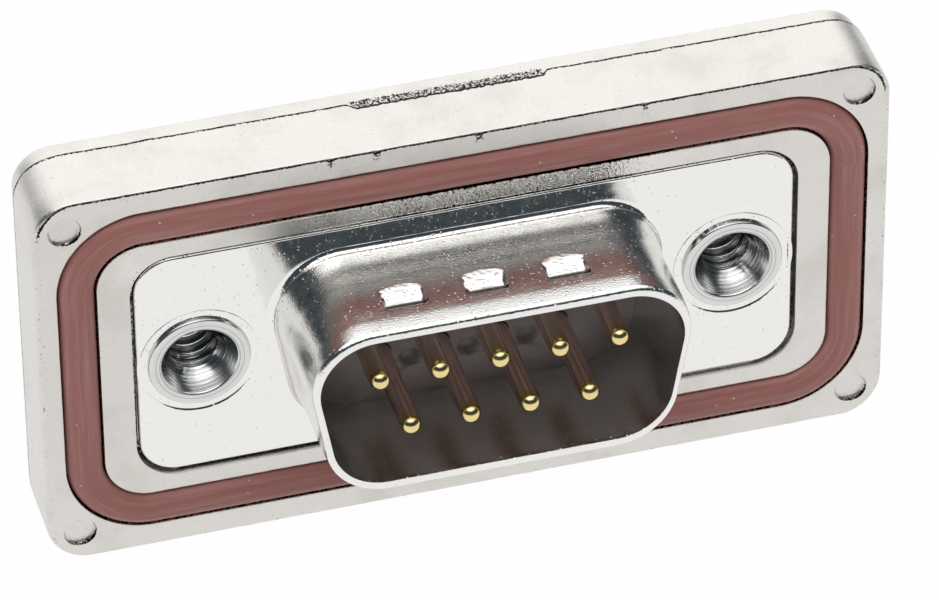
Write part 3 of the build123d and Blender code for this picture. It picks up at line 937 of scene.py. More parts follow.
def lathe_nodes(tree, start):
    """Turns the profile, whose x is a radius and whose y is a depth, about the Y axis.

    The thread attribute of a profile point says how much of the thread's height its ring takes."""
    size = add_node(tree, "GeometryNodeAttributeDomainSize", {"Geometry": start.outputs["Geometry"]})
    columns = add_node(tree, "ShaderNodeMath", {0: start.outputs["Segments"], 1: 1.0}, operation="ADD")
    grid = add_node(tree, "GeometryNodeMeshGrid", {
        "Size X": 1.0, "Size Y": 1.0, "Vertices X": size.outputs["Point Count"], "Vertices Y": columns
    })
    number = add_node(tree, "GeometryNodeInputIndex")
    row = add_node(tree, "ShaderNodeMath", {0: number, 1: columns}, operation="DIVIDE")
    row_down = add_node(tree, "ShaderNodeMath", {0: row}, operation="FLOOR")
    column = add_node(tree, "ShaderNodeMath", {0: number, 1: columns}, operation="MODULO")
    share = add_node(tree, "ShaderNodeMath", {
        0: column, 1: start.outputs["Segments"]
    }, operation="DIVIDE")
    angle = add_node(tree, "ShaderNodeMath", {0: share, 1: 2 * math.pi}, operation="MULTIPLY")
    position = add_node(tree, "GeometryNodeInputPosition")
    profile = add_node(tree, "GeometryNodeSampleIndex", {
        "Geometry": start.outputs["Geometry"], "Value": position, "Index": row_down
    }, data_type="FLOAT_VECTOR")
    profile_parts = add_node(tree, "ShaderNodeSeparateXYZ", {0: profile})
    flag = add_node(tree, "GeometryNodeInputNamedAttribute", {"Name": "thread"}, data_type="FLOAT")
    threaded = add_node(tree, "GeometryNodeSampleIndex", {
        "Geometry": start.outputs["Geometry"], "Value": flag, "Index": row_down
    }, data_type="FLOAT")
    turns = add_node(tree, "ShaderNodeMath", {
        0: profile_parts.outputs["Y"], 1: start.outputs["Thread Pitch"]
    }, operation="DIVIDE")
    phase = add_node(tree, "ShaderNodeMath", {0: turns, 1: share}, operation="ADD")
    half_turn, crest_end, root_start = 0.5, 0.07, 0.43
    wave = add_node(tree, "ShaderNodeMath", {0: phase, 1: half_turn}, operation="PINGPONG")
    flank = add_node(tree, "ShaderNodeMapRange", {
        "Value": wave, "From Min": crest_end, "From Max": root_start
    })
    height = add_node(tree, "ShaderNodeMath", {
        0: flank, 1: start.outputs["Thread Height"]
    }, operation="MULTIPLY")
    cut = add_node(tree, "ShaderNodeMath", {0: height, 1: threaded}, operation="MULTIPLY")
    radius = add_node(tree, "ShaderNodeMath", {0: profile_parts.outputs["X"], 1: cut}, operation="ADD")
    cosine = add_node(tree, "ShaderNodeMath", {0: angle}, operation="COSINE")
    sine = add_node(tree, "ShaderNodeMath", {0: angle}, operation="SINE")
    x = add_node(tree, "ShaderNodeMath", {0: radius, 1: cosine}, operation="MULTIPLY")
    z = add_node(tree, "ShaderNodeMath", {0: radius, 1: sine}, operation="MULTIPLY")
    spot = add_node(tree, "ShaderNodeCombineXYZ", {"X": x, "Y": profile_parts.outputs["Y"], "Z": z})
    turned = add_node(tree, "GeometryNodeSetPosition", {
        "Geometry": grid.outputs["Mesh"], "Position": spot
    })
    return add_node(tree, "GeometryNodeMergeByDistance", {"Geometry": turned, "Distance": mm(0.0005)})


def insert_tree():
    """A turned, threaded insert at each of the two screw axes."""
    tree, start = new_geometry_tree("Turned inserts", {
        "Segments": "Int", "Thread Pitch": "Float", "Thread Height": "Float", "Spacing": "Float",
        "Material": "Material",
    })
    insert = lathe_nodes(tree, start)
    half = add_node(tree, "ShaderNodeMath", {0: start.outputs["Spacing"], 1: -0.5}, operation="MULTIPLY")
    first = add_node(tree, "ShaderNodeCombineXYZ", {"X": half})
    step = add_node(tree, "ShaderNodeCombineXYZ", {"X": start.outputs["Spacing"]})
    places = add_node(tree, "GeometryNodeMeshLine", {
        "Count": 2, "Start Location": first, "Offset": step
    }, mode="OFFSET")
    pair = add_node(tree, "GeometryNodeInstanceOnPoints", {"Points": places, "Instance": insert})
    end_geometry_tree(tree, start, pair)
    return tree


def contact_tree():
    """A turned contact with a scooped cup at each place of the two rows."""
    tree, start = new_geometry_tree("Turned contacts", {
        "Segments": "Int", "Thread Pitch": "Float", "Thread Height": "Float", "Pitch": "Float",
        "Row Pitch": "Float", "Wide Row": "Int", "Cup End": "Float", "Scoop Length": "Float",
        "Scoop Height": "Float", "Scoop Lean": "Float", "Material": "Material",
    })
    turned = lathe_nodes(tree, start)

    # The cut that opens each cup: a block whose front face leans, and which reaches past the cup's end
    block_width, block_height, overlap = mm(4), mm(2), mm(0.01)
    block_size = add_node(tree, "ShaderNodeCombineXYZ", {
        "X": block_width, "Y": start.outputs["Scoop Length"], "Z": block_height
    })
    block = add_node(tree, "GeometryNodeMeshCube", {"Size": block_size})
    corner = add_node(tree, "GeometryNodeInputPosition")
    corner_parts = add_node(tree, "ShaderNodeSeparateXYZ", {0: corner})
    low = add_node(tree, "FunctionNodeCompare", {
        0: corner_parts.outputs["Z"], 1: 0.0
    }, operation="LESS_THAN")
    ahead = add_node(tree, "FunctionNodeCompare", {
        0: corner_parts.outputs["Y"], 1: 0.0
    }, operation="LESS_THAN")
    both = add_node(tree, "FunctionNodeBooleanMath", {0: low, 1: ahead}, operation="AND")
    lean = add_node(tree, "ShaderNodeCombineXYZ", {"Y": start.outputs["Scoop Lean"]})
    leaning = add_node(tree, "GeometryNodeSetPosition", {
        "Geometry": block.outputs["Mesh"], "Selection": both, "Offset": lean
    })
    half_length = add_node(tree, "ShaderNodeMath", {
        0: start.outputs["Scoop Length"], 1: -0.5
    }, operation="MULTIPLY")
    middle = add_node(tree, "ShaderNodeMath", {
        0: start.outputs["Cup End"], 1: half_length
    }, operation="ADD")
    past = add_node(tree, "ShaderNodeMath", {0: middle, 1: overlap}, operation="ADD")
    high = add_node(tree, "ShaderNodeMath", {
        0: start.outputs["Scoop Height"], 1: block_height / 2
    }, operation="ADD")
    block_place = add_node(tree, "ShaderNodeCombineXYZ", {"Y": past, "Z": high})
    cutter = add_node(tree, "GeometryNodeTransform", {"Geometry": leaning, "Translation": block_place})
    scooped = add_node(tree, "GeometryNodeMeshBoolean", {
        "Mesh 1": turned, "Mesh 2": cutter
    }, operation="DIFFERENCE", solver="EXACT")

    # The two rows, the shorter one turned half round
    rows = []
    for sign, shorter in ((1, 0), (-1, 1)):
        count = add_node(tree, "ShaderNodeMath", {
            0: start.outputs["Wide Row"], 1: float(shorter)
        }, operation="SUBTRACT")
        gaps = add_node(tree, "ShaderNodeMath", {0: count, 1: 1.0}, operation="SUBTRACT")
        span = add_node(tree, "ShaderNodeMath", {
            0: gaps, 1: start.outputs["Pitch"]
        }, operation="MULTIPLY")
        left = add_node(tree, "ShaderNodeMath", {0: span, 1: -0.5}, operation="MULTIPLY")
        up = add_node(tree, "ShaderNodeMath", {
            0: start.outputs["Row Pitch"], 1: 0.5 * sign
        }, operation="MULTIPLY")
        first = add_node(tree, "ShaderNodeCombineXYZ", {"X": left, "Z": up})
        step = add_node(tree, "ShaderNodeCombineXYZ", {"X": start.outputs["Pitch"]})
        line = add_node(tree, "GeometryNodeMeshLine", {
            "Count": count, "Start Location": first, "Offset": step
        }, mode="OFFSET")
        row = add_node(tree, "GeometryNodeInstanceOnPoints", {
            "Points": line, "Instance": scooped.outputs["Mesh"], "Rotation": (0.0, math.pi * shorter, 0.0)
        })
        rows.append(row)
    joined = add_node(tree, "GeometryNodeJoinGeometry")
    for row in rows:
        tree.links.new(row.outputs[0], joined.inputs[0])
    end_geometry_tree(tree, start, joined)
    return tree


def seal_tree():
    """A profile swept round a rounded rectangle, with its run and its girth kept as UVs."""
    tree, start = new_geometry_tree("Swept seal", {
        "Length": "Float", "Height": "Float", "Corner": "Float", "Arc Points": "Int", "Spacing": "Float",
        "Material": "Material",
    })
    path = add_node(tree, "GeometryNodeCurvePrimitiveQuadrilateral", {
        "Width": start.outputs["Length"], "Height": start.outputs["Height"]
    }, mode="RECTANGLE")
    rounded = add_node(tree, "GeometryNodeFilletCurve", {
        "Curve": path, "Count": start.outputs["Arc Points"], "Radius": start.outputs["Corner"]
    }, mode="POLY")
    even = add_node(tree, "GeometryNodeResampleCurve", {
        "Curve": rounded, "Length": start.outputs["Spacing"]
    }, mode="LENGTH")
    run = add_node(tree, "GeometryNodeSplineParameter")
    kept_run = add_node(tree, "GeometryNodeStoreNamedAttribute", {
        "Geometry": even, "Name": "run", "Value": run.outputs["Length"]
    }, data_type="FLOAT", domain="POINT")
    upright = add_node(tree, "GeometryNodeSetCurveNormal", {"Curve": kept_run}, mode="Z_UP")
    section = add_node(tree, "GeometryNodeMeshToCurve", {"Mesh": start.outputs["Geometry"]})
    girth = add_node(tree, "GeometryNodeSplineParameter")
    kept_girth = add_node(tree, "GeometryNodeStoreNamedAttribute", {
        "Geometry": section, "Name": "girth", "Value": girth.outputs["Length"]
    }, data_type="FLOAT", domain="POINT")
    swept = add_node(tree, "GeometryNodeCurveToMesh", {"Curve": upright, "Profile Curve": kept_girth})
    run_back = add_node(tree, "GeometryNodeInputNamedAttribute", {"Name": "run"}, data_type="FLOAT")
    girth_back = add_node(tree, "GeometryNodeInputNamedAttribute", {"Name": "girth"}, data_type="FLOAT")
    pair = add_node(tree, "ShaderNodeCombineXYZ", {"X": run_back, "Y": girth_back})
    mapped = add_node(tree, "GeometryNodeStoreNamedAttribute", {
        "Geometry": swept, "Name": "UVMap", "Value": pair
    }, data_type="FLOAT2", domain="CORNER")
    stood = add_node(tree, "GeometryNodeTransform", {
        "Geometry": mapped, "Rotation": (math.pi / 2, 0.0, 0.0)
    })
    end_geometry_tree(tree, start, stood)
    return tree


def profile_mesh(name, points, threads=None):
    """A line of points, x a radius or a width and y a depth or a height, for a tree to turn or sweep."""
    data = bpy.data.meshes.new(name)
    data.from_pydata([(x, y, 0) for x, y in points], [(k, k + 1) for k in range(len(points) - 1)], [])
    flags = data.attributes.new("thread", "FLOAT", "POINT")
    flags.data.foreach_set("value", threads if threads is not None else [0.0] * len(points))
    return data


# The pieces

def rubbed_near(base):
    """How rubbed each point of the inner land is: all along the top, and in one upper corner."""
    x, z = base[0][:, 0], base[0][:, 1]
    on_top = np.clip((z - mm(5.6)) / mm(0.4), 0, 1)
    from_left = np.clip((x + mm(9)) / mm(6), 0, 1)
    from_right = np.clip((mm(11) - x) / mm(4), 0, 1)
    corner = np.exp(-(np.hypot(x + mm(15.4), z - mm(5.8)) / mm(1.1)) ** 2)
    return np.maximum(on_top * from_left * from_right, corner)


class CONNECTOR_OT_casting(Operator):
    """Build the die-cast frame, with its worn edges, parting line, broken gate and ejector marks"""

    bl_idname = "connector.casting"
    bl_label = "Casting"

    def execute(self, context):
        settings = context.scene.connector
        c = settings.casting
        skin = Skin()
        front_rim, back_rim = self.add_sides(skin, c)
        groove_outer, groove_inner = self.add_groove(skin, c)
        marks = self.add_marks(skin, c)
        skin.flat(front_rim, [groove_outer, *marks])
        self.add_openings(skin, settings, groove_inner, back_rim)
        piece = skin.finish("casting", [material_of(nickel_on_zinc, settings.finishes)])
        place(piece, "zinc_casting", "frame")
        return {"FINISHED"}

    def add_sides(self, skin, c):
        """The four walls with their edges, from the sealing face to the back. Gives both end loops."""
        outer = rounded_outline(c.length, c.height, c.corner, *CASTING_POINTS)
        x = outer[0][:, 0]
        ends, top = np.abs(outer[1][:, 0]), outer[1][:, 1]

        # The front edge is softer at the ends than along the long sides, and a little chipped
        soft = c.sharp_edge + (c.soft_edge - c.sharp_edge) * ends ** 2
        soft = soft + ragged(outer, mm(0.7), mm(0.03), SEEDS["front edge"])
        chipped = [(mm(at), c.height / 2) for at in (-6.2, -4.1, 0.6, 8.3)]
        nicks = burrs(outer, chipped, mm(0.16), mm(0.06))
        soft = np.maximum(soft + nicks, mm(0.04))
        # A dark line is painted along the front edge as shade, heavier along the top wall and at the chips
        above = 0.3 + 0.7 * np.clip(2 * top, 0, 1)
        edge_shade = [1.1 * above, 0.95 * above, 0.4, 0.0, 0.0, 0.0, 0.0]
        pairs = [(ring(outer, -soft - mm(0.07), 0), 0.3 + 0.45 * (nicks > mm(0.03)))]
        for angle, dirt_and_shade in zip(np.radians(np.linspace(0, 90, len(edge_shade))), edge_shade):
            pairs.append((ring(outer, -soft * (1 - math.sin(angle)), soft * (1 - math.cos(angle))), dirt_and_shade))

        # The parting line wanders, and the broken gate pushes it forward on the top wall
        gate_ramp, undercut, break_length = mm(0.25), mm(0.035), mm(0.4)
        started = np.clip((x - c.gate_left) / gate_ramp, 0, 1)
        ended = np.clip((c.gate_right - x) / gate_ramp, 0, 1)
        gate = (top > 0.99) * started * ended
        wander = ragged(outer, mm(1.1), mm(0.045), SEEDS["parting line"]) * (0.4 + 0.6 * (top > 0.5))
        chips = ragged(outer, mm(0.22), mm(0.09), SEEDS["gate chips"]) * gate
        parting = c.band_depth - c.gate_width * gate + wander + chips
        ridge = ragged(outer, mm(0.35), mm(0.012), SEEDS["ridge"])
        pairs += [(ring(outer, 0, parting * share), 0.0) for share in (0.35, 0.7)]
        # Painted shade darkens the parting line and the step under it, a little more at the gate
        pairs += [
            (ring(outer, 0, parting - mm(0.2)), 0.0),
            (ring(outer, 0, parting - mm(0.12)), 0.8 + 0.2 * gate),
            (ring(outer, np.minimum(-mm(0.01) + ridge, 0), parting), 1.1),
            (ring(outer, -c.step - mm(0.05) * gate, parting + undercut), 0.95),
        ]

        # The metal broken off at the gate is rough as far as the strip behind it
        for share in (0.25, 0.5, 0.75, 1.0):
            bumps = ragged(outer, mm(0.13), mm(0.09), SEEDS["gate break"] + 9 * share)
            rough = np.minimum(bumps, mm(0.1)) * gate * (share < 1)
            reach = parting + undercut + share * (c.band_depth + break_length - parting)
            pairs.append((ring(outer, -c.step + rough, reach), 0.7 * gate * (share < 1)))
        centre = (-c.step - c.back_edge, c.depth - c.back_edge)
        pairs.append((ring(outer, -c.step, c.depth - c.back_edge), 0.0))
        pairs += [(ring(outer, *spot), 0.0) for spot in arc_points(centre, c.back_edge, 0, 90, 6)[1:]]
        numbers = skin.chain(*zip(*pairs))
        return numbers[0], numbers[-1]

    def add_groove(self, skin, c):
        """The gasket groove with its worn edges, and painted shade that darkens its walls towards the
        floor. Gives its outer and inner loops on the sealing face.
        """
        outer = rounded_outline(c.groove_length, c.groove_height, c.groove_corner)
        inner = rounded_outline(
            c.groove_length - 2 * c.groove_width, c.groove_height - 2 * c.groove_width,
            c.groove_corner - c.groove_width,
        )
        outer_edge = worn_edge(outer, 1, mm(0.05), mm(0.5), mm(0.03), SEEDS["groove outer"])
        inner_edge = worn_edge(inner, -1, mm(0.05), mm(0.45), mm(0.03), SEEDS["groove inner"])
        # Painted shade darkens both walls towards the groove's floor
        outer_wall = skin.chain([*outer_edge, ring(outer, 0, c.groove_depth)], [0.0, 0.2, 0.3, 0.7, 1.0])
        inner_wall = skin.chain(
            [ring(inner, 0, c.groove_depth), *reversed(inner_edge)],
            [1.0, 0.6, 0.2, 0.1, 0.0], rubbed_near(inner),
        )
        skin.wall(outer_wall[-1], inner_wall[0])
        return outer_wall[0], inner_wall[-1]

    def add_marks(self, skin, c):
        """The ejector marks in the corners of the sealing face, with painted shade on their lower right."""
        marks = []
        x, z = c.length / 2 - c.mark_inset, c.height / 2 - c.mark_inset
        for place_x, place_z in ((-x, -z), (-x, z), (x, -z), (x, z)):
            spot = circle_outline(place_x, place_z, c.mark / 2)
            shade = np.clip(spot[1] @ np.array([0.6, -0.8]), 0, 1)
            made = skin.chain([
                ring(spot, mm(0.06), 0),
                ring(spot, mm(0.02), mm(0.004)),
                ring(spot, 0, mm(0.03)),
                ring(spot, -mm(0.03), c.mark_depth - mm(0.03)),
                ring(spot, -mm(0.07), c.mark_depth),
            ], [0.0, 0.7 * shade, 1.1 * shade, 0.8 * shade, 0.0])
            skin.flat(made[-1])
            marks.append(made[0])
        return marks

    def add_openings(self, skin, settings, groove_inner, back_rim):
        """The pocket for the flanges, the window for the can, the inserts' bores and the recess behind."""
        c, turned = settings.casting, settings.turned
        pocket = rounded_outline(c.pocket_length, c.pocket_height, c.pocket_corner)
        window = d_outline(settings.shell)
        recess = rounded_outline(
            c.length - 2 * c.recess_wall, c.height - 2 * c.recess_wall, c.recess_corner, *CASTING_POINTS
        )
        edge = worn_edge(pocket, 1, mm(0.04), mm(0.4), mm(0.02), SEEDS["pocket"])
        # Painted shade darkens the pocket's wall towards its floor
        pocket_wall = skin.chain(
            [*edge, ring(pocket, 0, c.pocket_floor)], [0.0, 0.1, 0.1, 0.25, 0.8], rubbed_near(pocket)
        )
        skin.wall(groove_inner, pocket_wall[0])
        bevel = mm(0.35)
        window_wall = skin.chain([
            ring(window, c.window_clear + bevel, c.pocket_floor),
            ring(window, c.window_clear, c.pocket_floor + bevel),
            ring(window, c.window_clear, c.recess_floor),
        ])
        bore_fronts, boss_feet = [], []
        boss_top, boss_round = c.depth - c.boss_low, mm(0.1)
        for x in (-turned.screw_spacing / 2, turned.screw_spacing / 2):
            circle = circle_outline(x, 0, turned.body / 2 + c.bore_clear)
            boss = circle_outline(x, 0, c.boss / 2)
            bore = skin.chain([ring(circle, 0, c.pocket_floor), ring(circle, 0, boss_top)])
            sides = skin.chain([
                ring(boss, 0, c.recess_floor),
                ring(boss, 0, boss_top - boss_round),
                ring(boss, -boss_round, boss_top),
            ])
            skin.wall(bore[-1], sides[-1])
            bore_fronts.append(bore[0])
            boss_feet.append(sides[0])
        skin.flat(pocket_wall[-1], [window_wall[0], *bore_fronts])
        recess_wall = skin.chain([
            ring(recess, mm(0.15), c.depth),
            ring(recess, mm(0.03), c.depth),
            ring(recess, 0, c.depth - mm(0.1)),
            ring(recess, 0, c.recess_floor),
        ])
        skin.wall(back_rim, recess_wall[0])
        skin.flat(recess_wall[-1], [window_wall[-1], *boss_feet])


class CONNECTOR_OT_gasket(Operator):
    """Sweep the crowned silicone gasket round its groove"""

    bl_idname = "connector.gasket"
    bl_label = "Gasket"

    def execute(self, context):
        settings = context.scene.connector
        c = settings.casting
        gap, proud, crown = mm(0.05), -GASKET_FRONT, mm(0.75)
        half = c.groove_width / 2 - gap
        rubber = material_of(silicone_rubber, settings.finishes)
        points = [(-half, c.groove_depth), (-half, c.groove_depth / 2)]
        points += arc_points((-half + crown, crown - proud), crown, 180, 270, 12)
        points += arc_points((half - crown, crown - proud), crown, 270, 360, 12)
        points += [(half, c.groove_depth / 2), (half, c.groove_depth), (-half, c.groove_depth)]
        data = grow_with(seal_tree(), "gasket", profile_mesh("gasket section", points), {
            "Length": c.groove_length - c.groove_width, "Height": c.groove_height - c.groove_width,
            "Corner": c.groove_corner - c.groove_width / 2, "Arc Points": 40, "Spacing": mm(0.2),
            "Material": rubber,
        })
        piece = finished("gasket_ring", data, [rubber])
        place(piece, "silicone", "gasket")
        return {"FINISHED"}


# The dimples' places in their row, counted from the middle one
DIMPLES = (-1, 0, 1)


def off_dimple(shell, points, number):
    """How far each point stands to the side of this dimple's middle."""
    return np.abs(points[:, 0] - number * shell.dimple_spacing - shell.dimple_shift)


def dimpled(shell, points, surface):
    """Pushes points on the top wall into the dimples: a long slope behind, a steep side in front."""
    lowest = shell.front + shell.dimple_setback
    half = shell.dimple_width / 2
    bow, wander, shortest, side, skin_depth = mm(0.3), mm(0.12), mm(0.3), mm(0.13), mm(0.02)
    wobble_size, crease_size, softness, crease_height = mm(0.22), mm(0.16), 0.35, 0.12
    moved = points.copy()
    for number in DIMPLES:
        off = off_dimple(shell, points, number)
        wobble = np.array([
            noise.noise(Vector((x / wobble_size, 0.0, SEEDS["dimple ends"]))) for x in points[:, 0]
        ])
        ramp = shell.dimple_ramp - bow * (off / half) ** 2 + wander * wobble
        behind = 1 - (points[:, 1] - lowest) / np.maximum(ramp, shortest)
        ahead = 1 + (points[:, 1] - lowest) / shell.dimple_front
        aside = (half - off) / side
        share = np.minimum(np.minimum(behind, ahead), aside)
        share = np.clip(share, 0, 1)
        share = share * share * (3 - 2 * share) * softness + share * (1 - softness)
        crease = np.array([
            noise.noise(Vector((x / crease_size, y / crease_size, SEEDS["dimple crease"])))
            for x, y in points[:, :2]
        ])
        share = share + crease_height * crease * np.clip(4 * share, 0, 1) * np.clip(1.2 - share, 0, 1)
        moved[:, 2] -= np.where(points[:, 2] > surface - skin_depth, share * shell.dimple_depth, 0)
    return moved


def dimple_crease_shade(shell, points):
    """How much painted shade each point of the tube takes: a dark line along the steep side of each dimple.
    """
    darkest = shell.front + shell.dimple_setback - mm(0.28)
    spread = mm(0.17)
    found = np.zeros(len(points))
    for number in DIMPLES:
        off = off_dimple(shell, points, number)
        near = np.exp(-((points[:, 1] - darkest) / spread) ** 2)
        found = np.maximum(found, near * (off < shell.dimple_width / 2) * (points[:, 2] > 0))
    return found


class CONNECTOR_OT_front_shell(Operator):
    """Draw the mating shell, with its lip, bend, dimples, flange and coined rings"""

    bl_idname = "connector.front_shell"
    bl_label = "Front shell"

    def execute(self, context):
        settings = context.scene.connector
        skin = Skin()
        tube_front, tube_back = self.add_tube(skin, settings.shell)
        self.add_flange(skin, settings.shell, settings.turned.screw_spacing / 2, tube_front, tube_back)
        piece = skin.finish("mating_shell", [material_of(bright_plate, settings.finishes)])
        place(piece, "plated_steel", "front_shell")
        return {"FINISHED"}

    def add_tube(self, skin, s):
        """The drawn tube with its lip and dimples. Gives its loops in the flange's front and back."""
        base = d_outline(s)
        mouth_base = d_outline(s, s.lip_side_turn - s.lip_end_turn)
        centre = s.wall + s.flare + s.bend
        foot = (centre + mm(0.06), s.flange_front)
        side_start, side_end = s.front + s.lip_round, s.flange_front - s.bend

        # Outside: the lip, the tube, which leans and flares a little, and the bend into the flange
        mouth = [
            (-s.lip_end_turn, s.front + s.lip_land),
            (-s.lip_end_turn, s.front + mm(0.07)),
            (-s.lip_end_turn + mm(0.02), s.front + mm(0.02)),
        ]
        lip = arc_points((s.wall - s.lean - s.lip_round, side_start), s.lip_round, -90, 0, 12)
        ramp_end = s.front + s.dimple_setback + s.dimple_ramp + mm(0.15)
        ramp_start = s.front + s.dimple_setback - s.dimple_front - mm(0.1)
        places = np.concatenate([
            np.linspace(side_start, ramp_start, 16)[1:],
            np.linspace(ramp_start, ramp_end, 44)[1:],
            np.linspace(ramp_end, side_end, 24)[1:-1],
        ])
        flared = np.clip((places - side_end) / s.flare_length + 1, 0, 1) ** 1.4
        leaned = np.clip(1 - (places - side_start) / s.lean_length, 0, 1) ** 1.3
        side = list(zip(s.wall + s.flare * flared - s.lean * leaned, places))
        bend = arc_points((centre, side_end), s.bend, 175, 90, 14)
        outside = [ring(mouth_base, *spot) for spot in mouth]
        outside += [ring(base, *spot) for spot in [*lip, *side, *bend, foot]]
        outside = [dimpled(s, loop, s.height / 2 + s.wall) for loop in outside]

        # Inside: from the back of the flange to the insulator, past its front edge, and up to the lip
        hidden_bend = arc_points((s.bend + s.wall, side_end), s.bend + s.wall, 90, 180, 14)[:6]
        tucked = [(-mm(0.09), BLOCK_LOW.y + mm(0.04)), (-mm(0.07), BLOCK_LOW.y - mm(0.03))]
        wall = [(0, depth) for depth in np.linspace(side_end, s.front + s.lip_land, 60)[1:]]
        behind = (foot[0], s.flange_front + s.wall)
        inside_loops = [ring(base, *spot) for spot in [behind, *hidden_bend, *tucked, *wall]]
        inside_loops = [dimpled(s, loop, s.height / 2) for loop in inside_loops]
        outer_numbers = skin.chain(outside, [dimple_crease_shade(s, loop) for loop in outside])
        inner_numbers = skin.chain(inside_loops)
        skin.wall(inner_numbers[-1], outer_numbers[0])
        return outer_numbers[-1], inner_numbers[0]

    def add_flange(self, skin, s, screw, tube_front, tube_back):
        """The flange round the tube, with its rounded rim, coined rings and holes."""
        flange = rounded_outline(s.flange_length, s.flange_height, s.flange_corner)
        edge, back, coined = s.flange_edge, s.flange_front + s.wall, s.flange_front + s.coin_depth
        rounded = arc_points((-edge, s.flange_front + edge), edge, -90, 0, 5)
        rim = [(-edge - LAND, s.flange_front), *rounded, (0, back)]
        rim_numbers = skin.chain([ring(flange, *spot) for spot in rim])
        rings, holes = [], []
        for x in (-screw, screw):
            coin = circle_outline(x, 0, s.coin / 2, 96)
            hole = circle_outline(x, 0, s.hole / 2, 96)
            made = skin.chain([
                ring(coin, mm(0.08), s.flange_front),
                ring(coin, mm(0.03), s.flange_front + mm(0.008)),
                ring(coin, -mm(0.05), coined),
                ring(hole, 0, coined),
                ring(hole, 0, back),
            ])
            rings.append(made[0])
            holes.append(made[-1])
        skin.flat(rim_numbers[0], [tube_front, *rings])
        skin.flat(rim_numbers[-1], [tube_back, *holes])


class CONNECTOR_OT_rear_shell(Operator):
    """Finish the can behind the flanges"""

    bl_idname = "connector.rear_shell"
    bl_label = "Rear shell"

    def execute(self, context):
        finishes = context.scene.connector.finishes
        piece = copy_of("rear_shell", "rear_can", material_of(bright_plate, finishes))
        place(piece, "plated_steel", "rear_shell")
        return {"FINISHED"}


class CONNECTOR_OT_insulators(Operator):
    """Finish the two insulator mouldings that hold the contacts"""

    bl_idname = "connector.insulators"
    bl_label = "Insulators"

    def execute(self, context):
        finishes = context.scene.connector.finishes
        for node, name in (("front_insulator", "front_moulding"), ("rear_insulator", "rear_moulding")):
            piece = copy_of(node, name, material_of(moulded_insulator, finishes))
            place(piece, "insulator", node)
        return {"FINISHED"}


class CONNECTOR_OT_inserts(Operator):
    """Turn the two threaded inserts"""

    bl_idname = "connector.inserts"
    bl_label = "Inserts"

    def execute(self, context):
        settings = context.scene.connector
        t = settings.turned
        front = INSERT_LOW.y
        lip_back = settings.shell.flange_front + settings.shell.coin_depth
        pocket = settings.casting.pocket_floor
        bore = t.thread_minor / 2
        chamfer = (t.funnel_end - t.thread_minor) / 2
        bore_front = front + t.funnel_depth + chamfer
        back_chamfer, back_fade, front_fade = mm(0.1), mm(0.25), mm(0.12)
        depths = np.linspace(t.insert_back, bore_front, 150)
        faded_back = np.clip((t.insert_back - depths) / back_fade, 0, 1)
        faded_front = np.clip((depths - bore_front) / front_fade, 0, 1)
        roll = t.lip_round
        outline_points = [(t.funnel_end / 2, front + t.funnel_depth)]
        outline_points += arc_points((t.funnel / 2 + roll, front + roll), roll, 190, 270, 6)
        outline_points += arc_points((t.lip / 2 - roll, front + roll), roll, 270, 360, 6)
        outline_points += [
            (t.lip / 2, lip_back), (t.neck / 2, lip_back), (t.neck / 2, pocket), (t.body / 2, pocket),
            (t.body / 2, t.insert_back - back_chamfer), (t.body / 2 - back_chamfer, t.insert_back),
            (bore, t.insert_back),
        ]
        points = [(bore, depth) for depth in depths] + outline_points
        threads = [*(faded_back * faded_front), *[0.0] * len(outline_points)]
        finish = material_of(turned_steel, settings.finishes)
        data = grow_with(insert_tree(), "inserts", profile_mesh("insert profile", points, threads), {
            "Segments": 96, "Thread Pitch": t.thread_pitch, "Thread Height": t.thread_height,
            "Spacing": t.screw_spacing, "Material": finish,
        })
        piece = finished("threaded_inserts", data, [finish], crease=40)
        place(piece, "insert_steel", "insert_left", "insert_right")
        return {"FINISHED"}


class CONNECTOR_OT_contacts(Operator):
    """Turn the nine contacts"""

    bl_idname = "connector.contacts"
    bl_label = "Contacts"

    def execute(self, context):
        settings = context.scene.connector
        t = settings.turned
        pin, collar, cup, bore = t.pin / 2, t.collar / 2, t.cup / 2, t.cup_bore / 2
        collar_front, bore_end = t.split - t.collar_length, t.cup_back - t.cup_depth
        outer_bevel, inner_bevel, drill_point = mm(0.04), mm(0.03), mm(0.2)
        nose_end = t.tip + t.nose
        points = arc_points((0, nose_end), t.nose, -90, 0, 12)
        points += [
            (pin - mm(0.004), nose_end + t.taper - mm(0.08)), (pin, nose_end + t.taper + mm(0.06)),
            (pin, collar_front), (collar, collar_front), (collar, t.split), (cup, t.split),
            (cup, t.cup_back - outer_bevel), (cup - outer_bevel, t.cup_back),
            (bore + inner_bevel, t.cup_back), (bore, t.cup_back - inner_bevel),
            (bore, bore_end), (0, bore_end - drill_point),
        ]
        finish = material_of(gold_plate, settings.finishes)
        data = grow_with(contact_tree(), "contacts", profile_mesh("contact profile", points), {
            "Segments": 48, "Thread Pitch": 1.0, "Thread Height": 0.0, "Pitch": t.pitch,
            "Row Pitch": t.row_pitch, "Wide Row": t.wide_row, "Cup End": t.cup_back,
            "Scoop Length": t.scoop, "Scoop Height": t.scoop_height, "Scoop Lean": t.cup / 2,
            "Material": finish,
        })
        piece = finished("turned_contacts", data, [finish])
        place(piece, "contact_gold", *[f"contact_{k}" for k in range(1, 2 * t.wide_row)])
        return {"FINISHED"}


class CONNECTOR_OT_compound(Operator):
    """Finish the sealing compound in the back"""

    bl_idname = "connector.compound"
    bl_label = "Sealing compound"

    def execute(self, context):
        finishes = context.scene.connector.finishes
        piece = copy_of("sealing_compound", "poured_compound", material_of(cast_epoxy, finishes))
        place(piece, "compound", "sealing_compound")
        return {"FINISHED"}


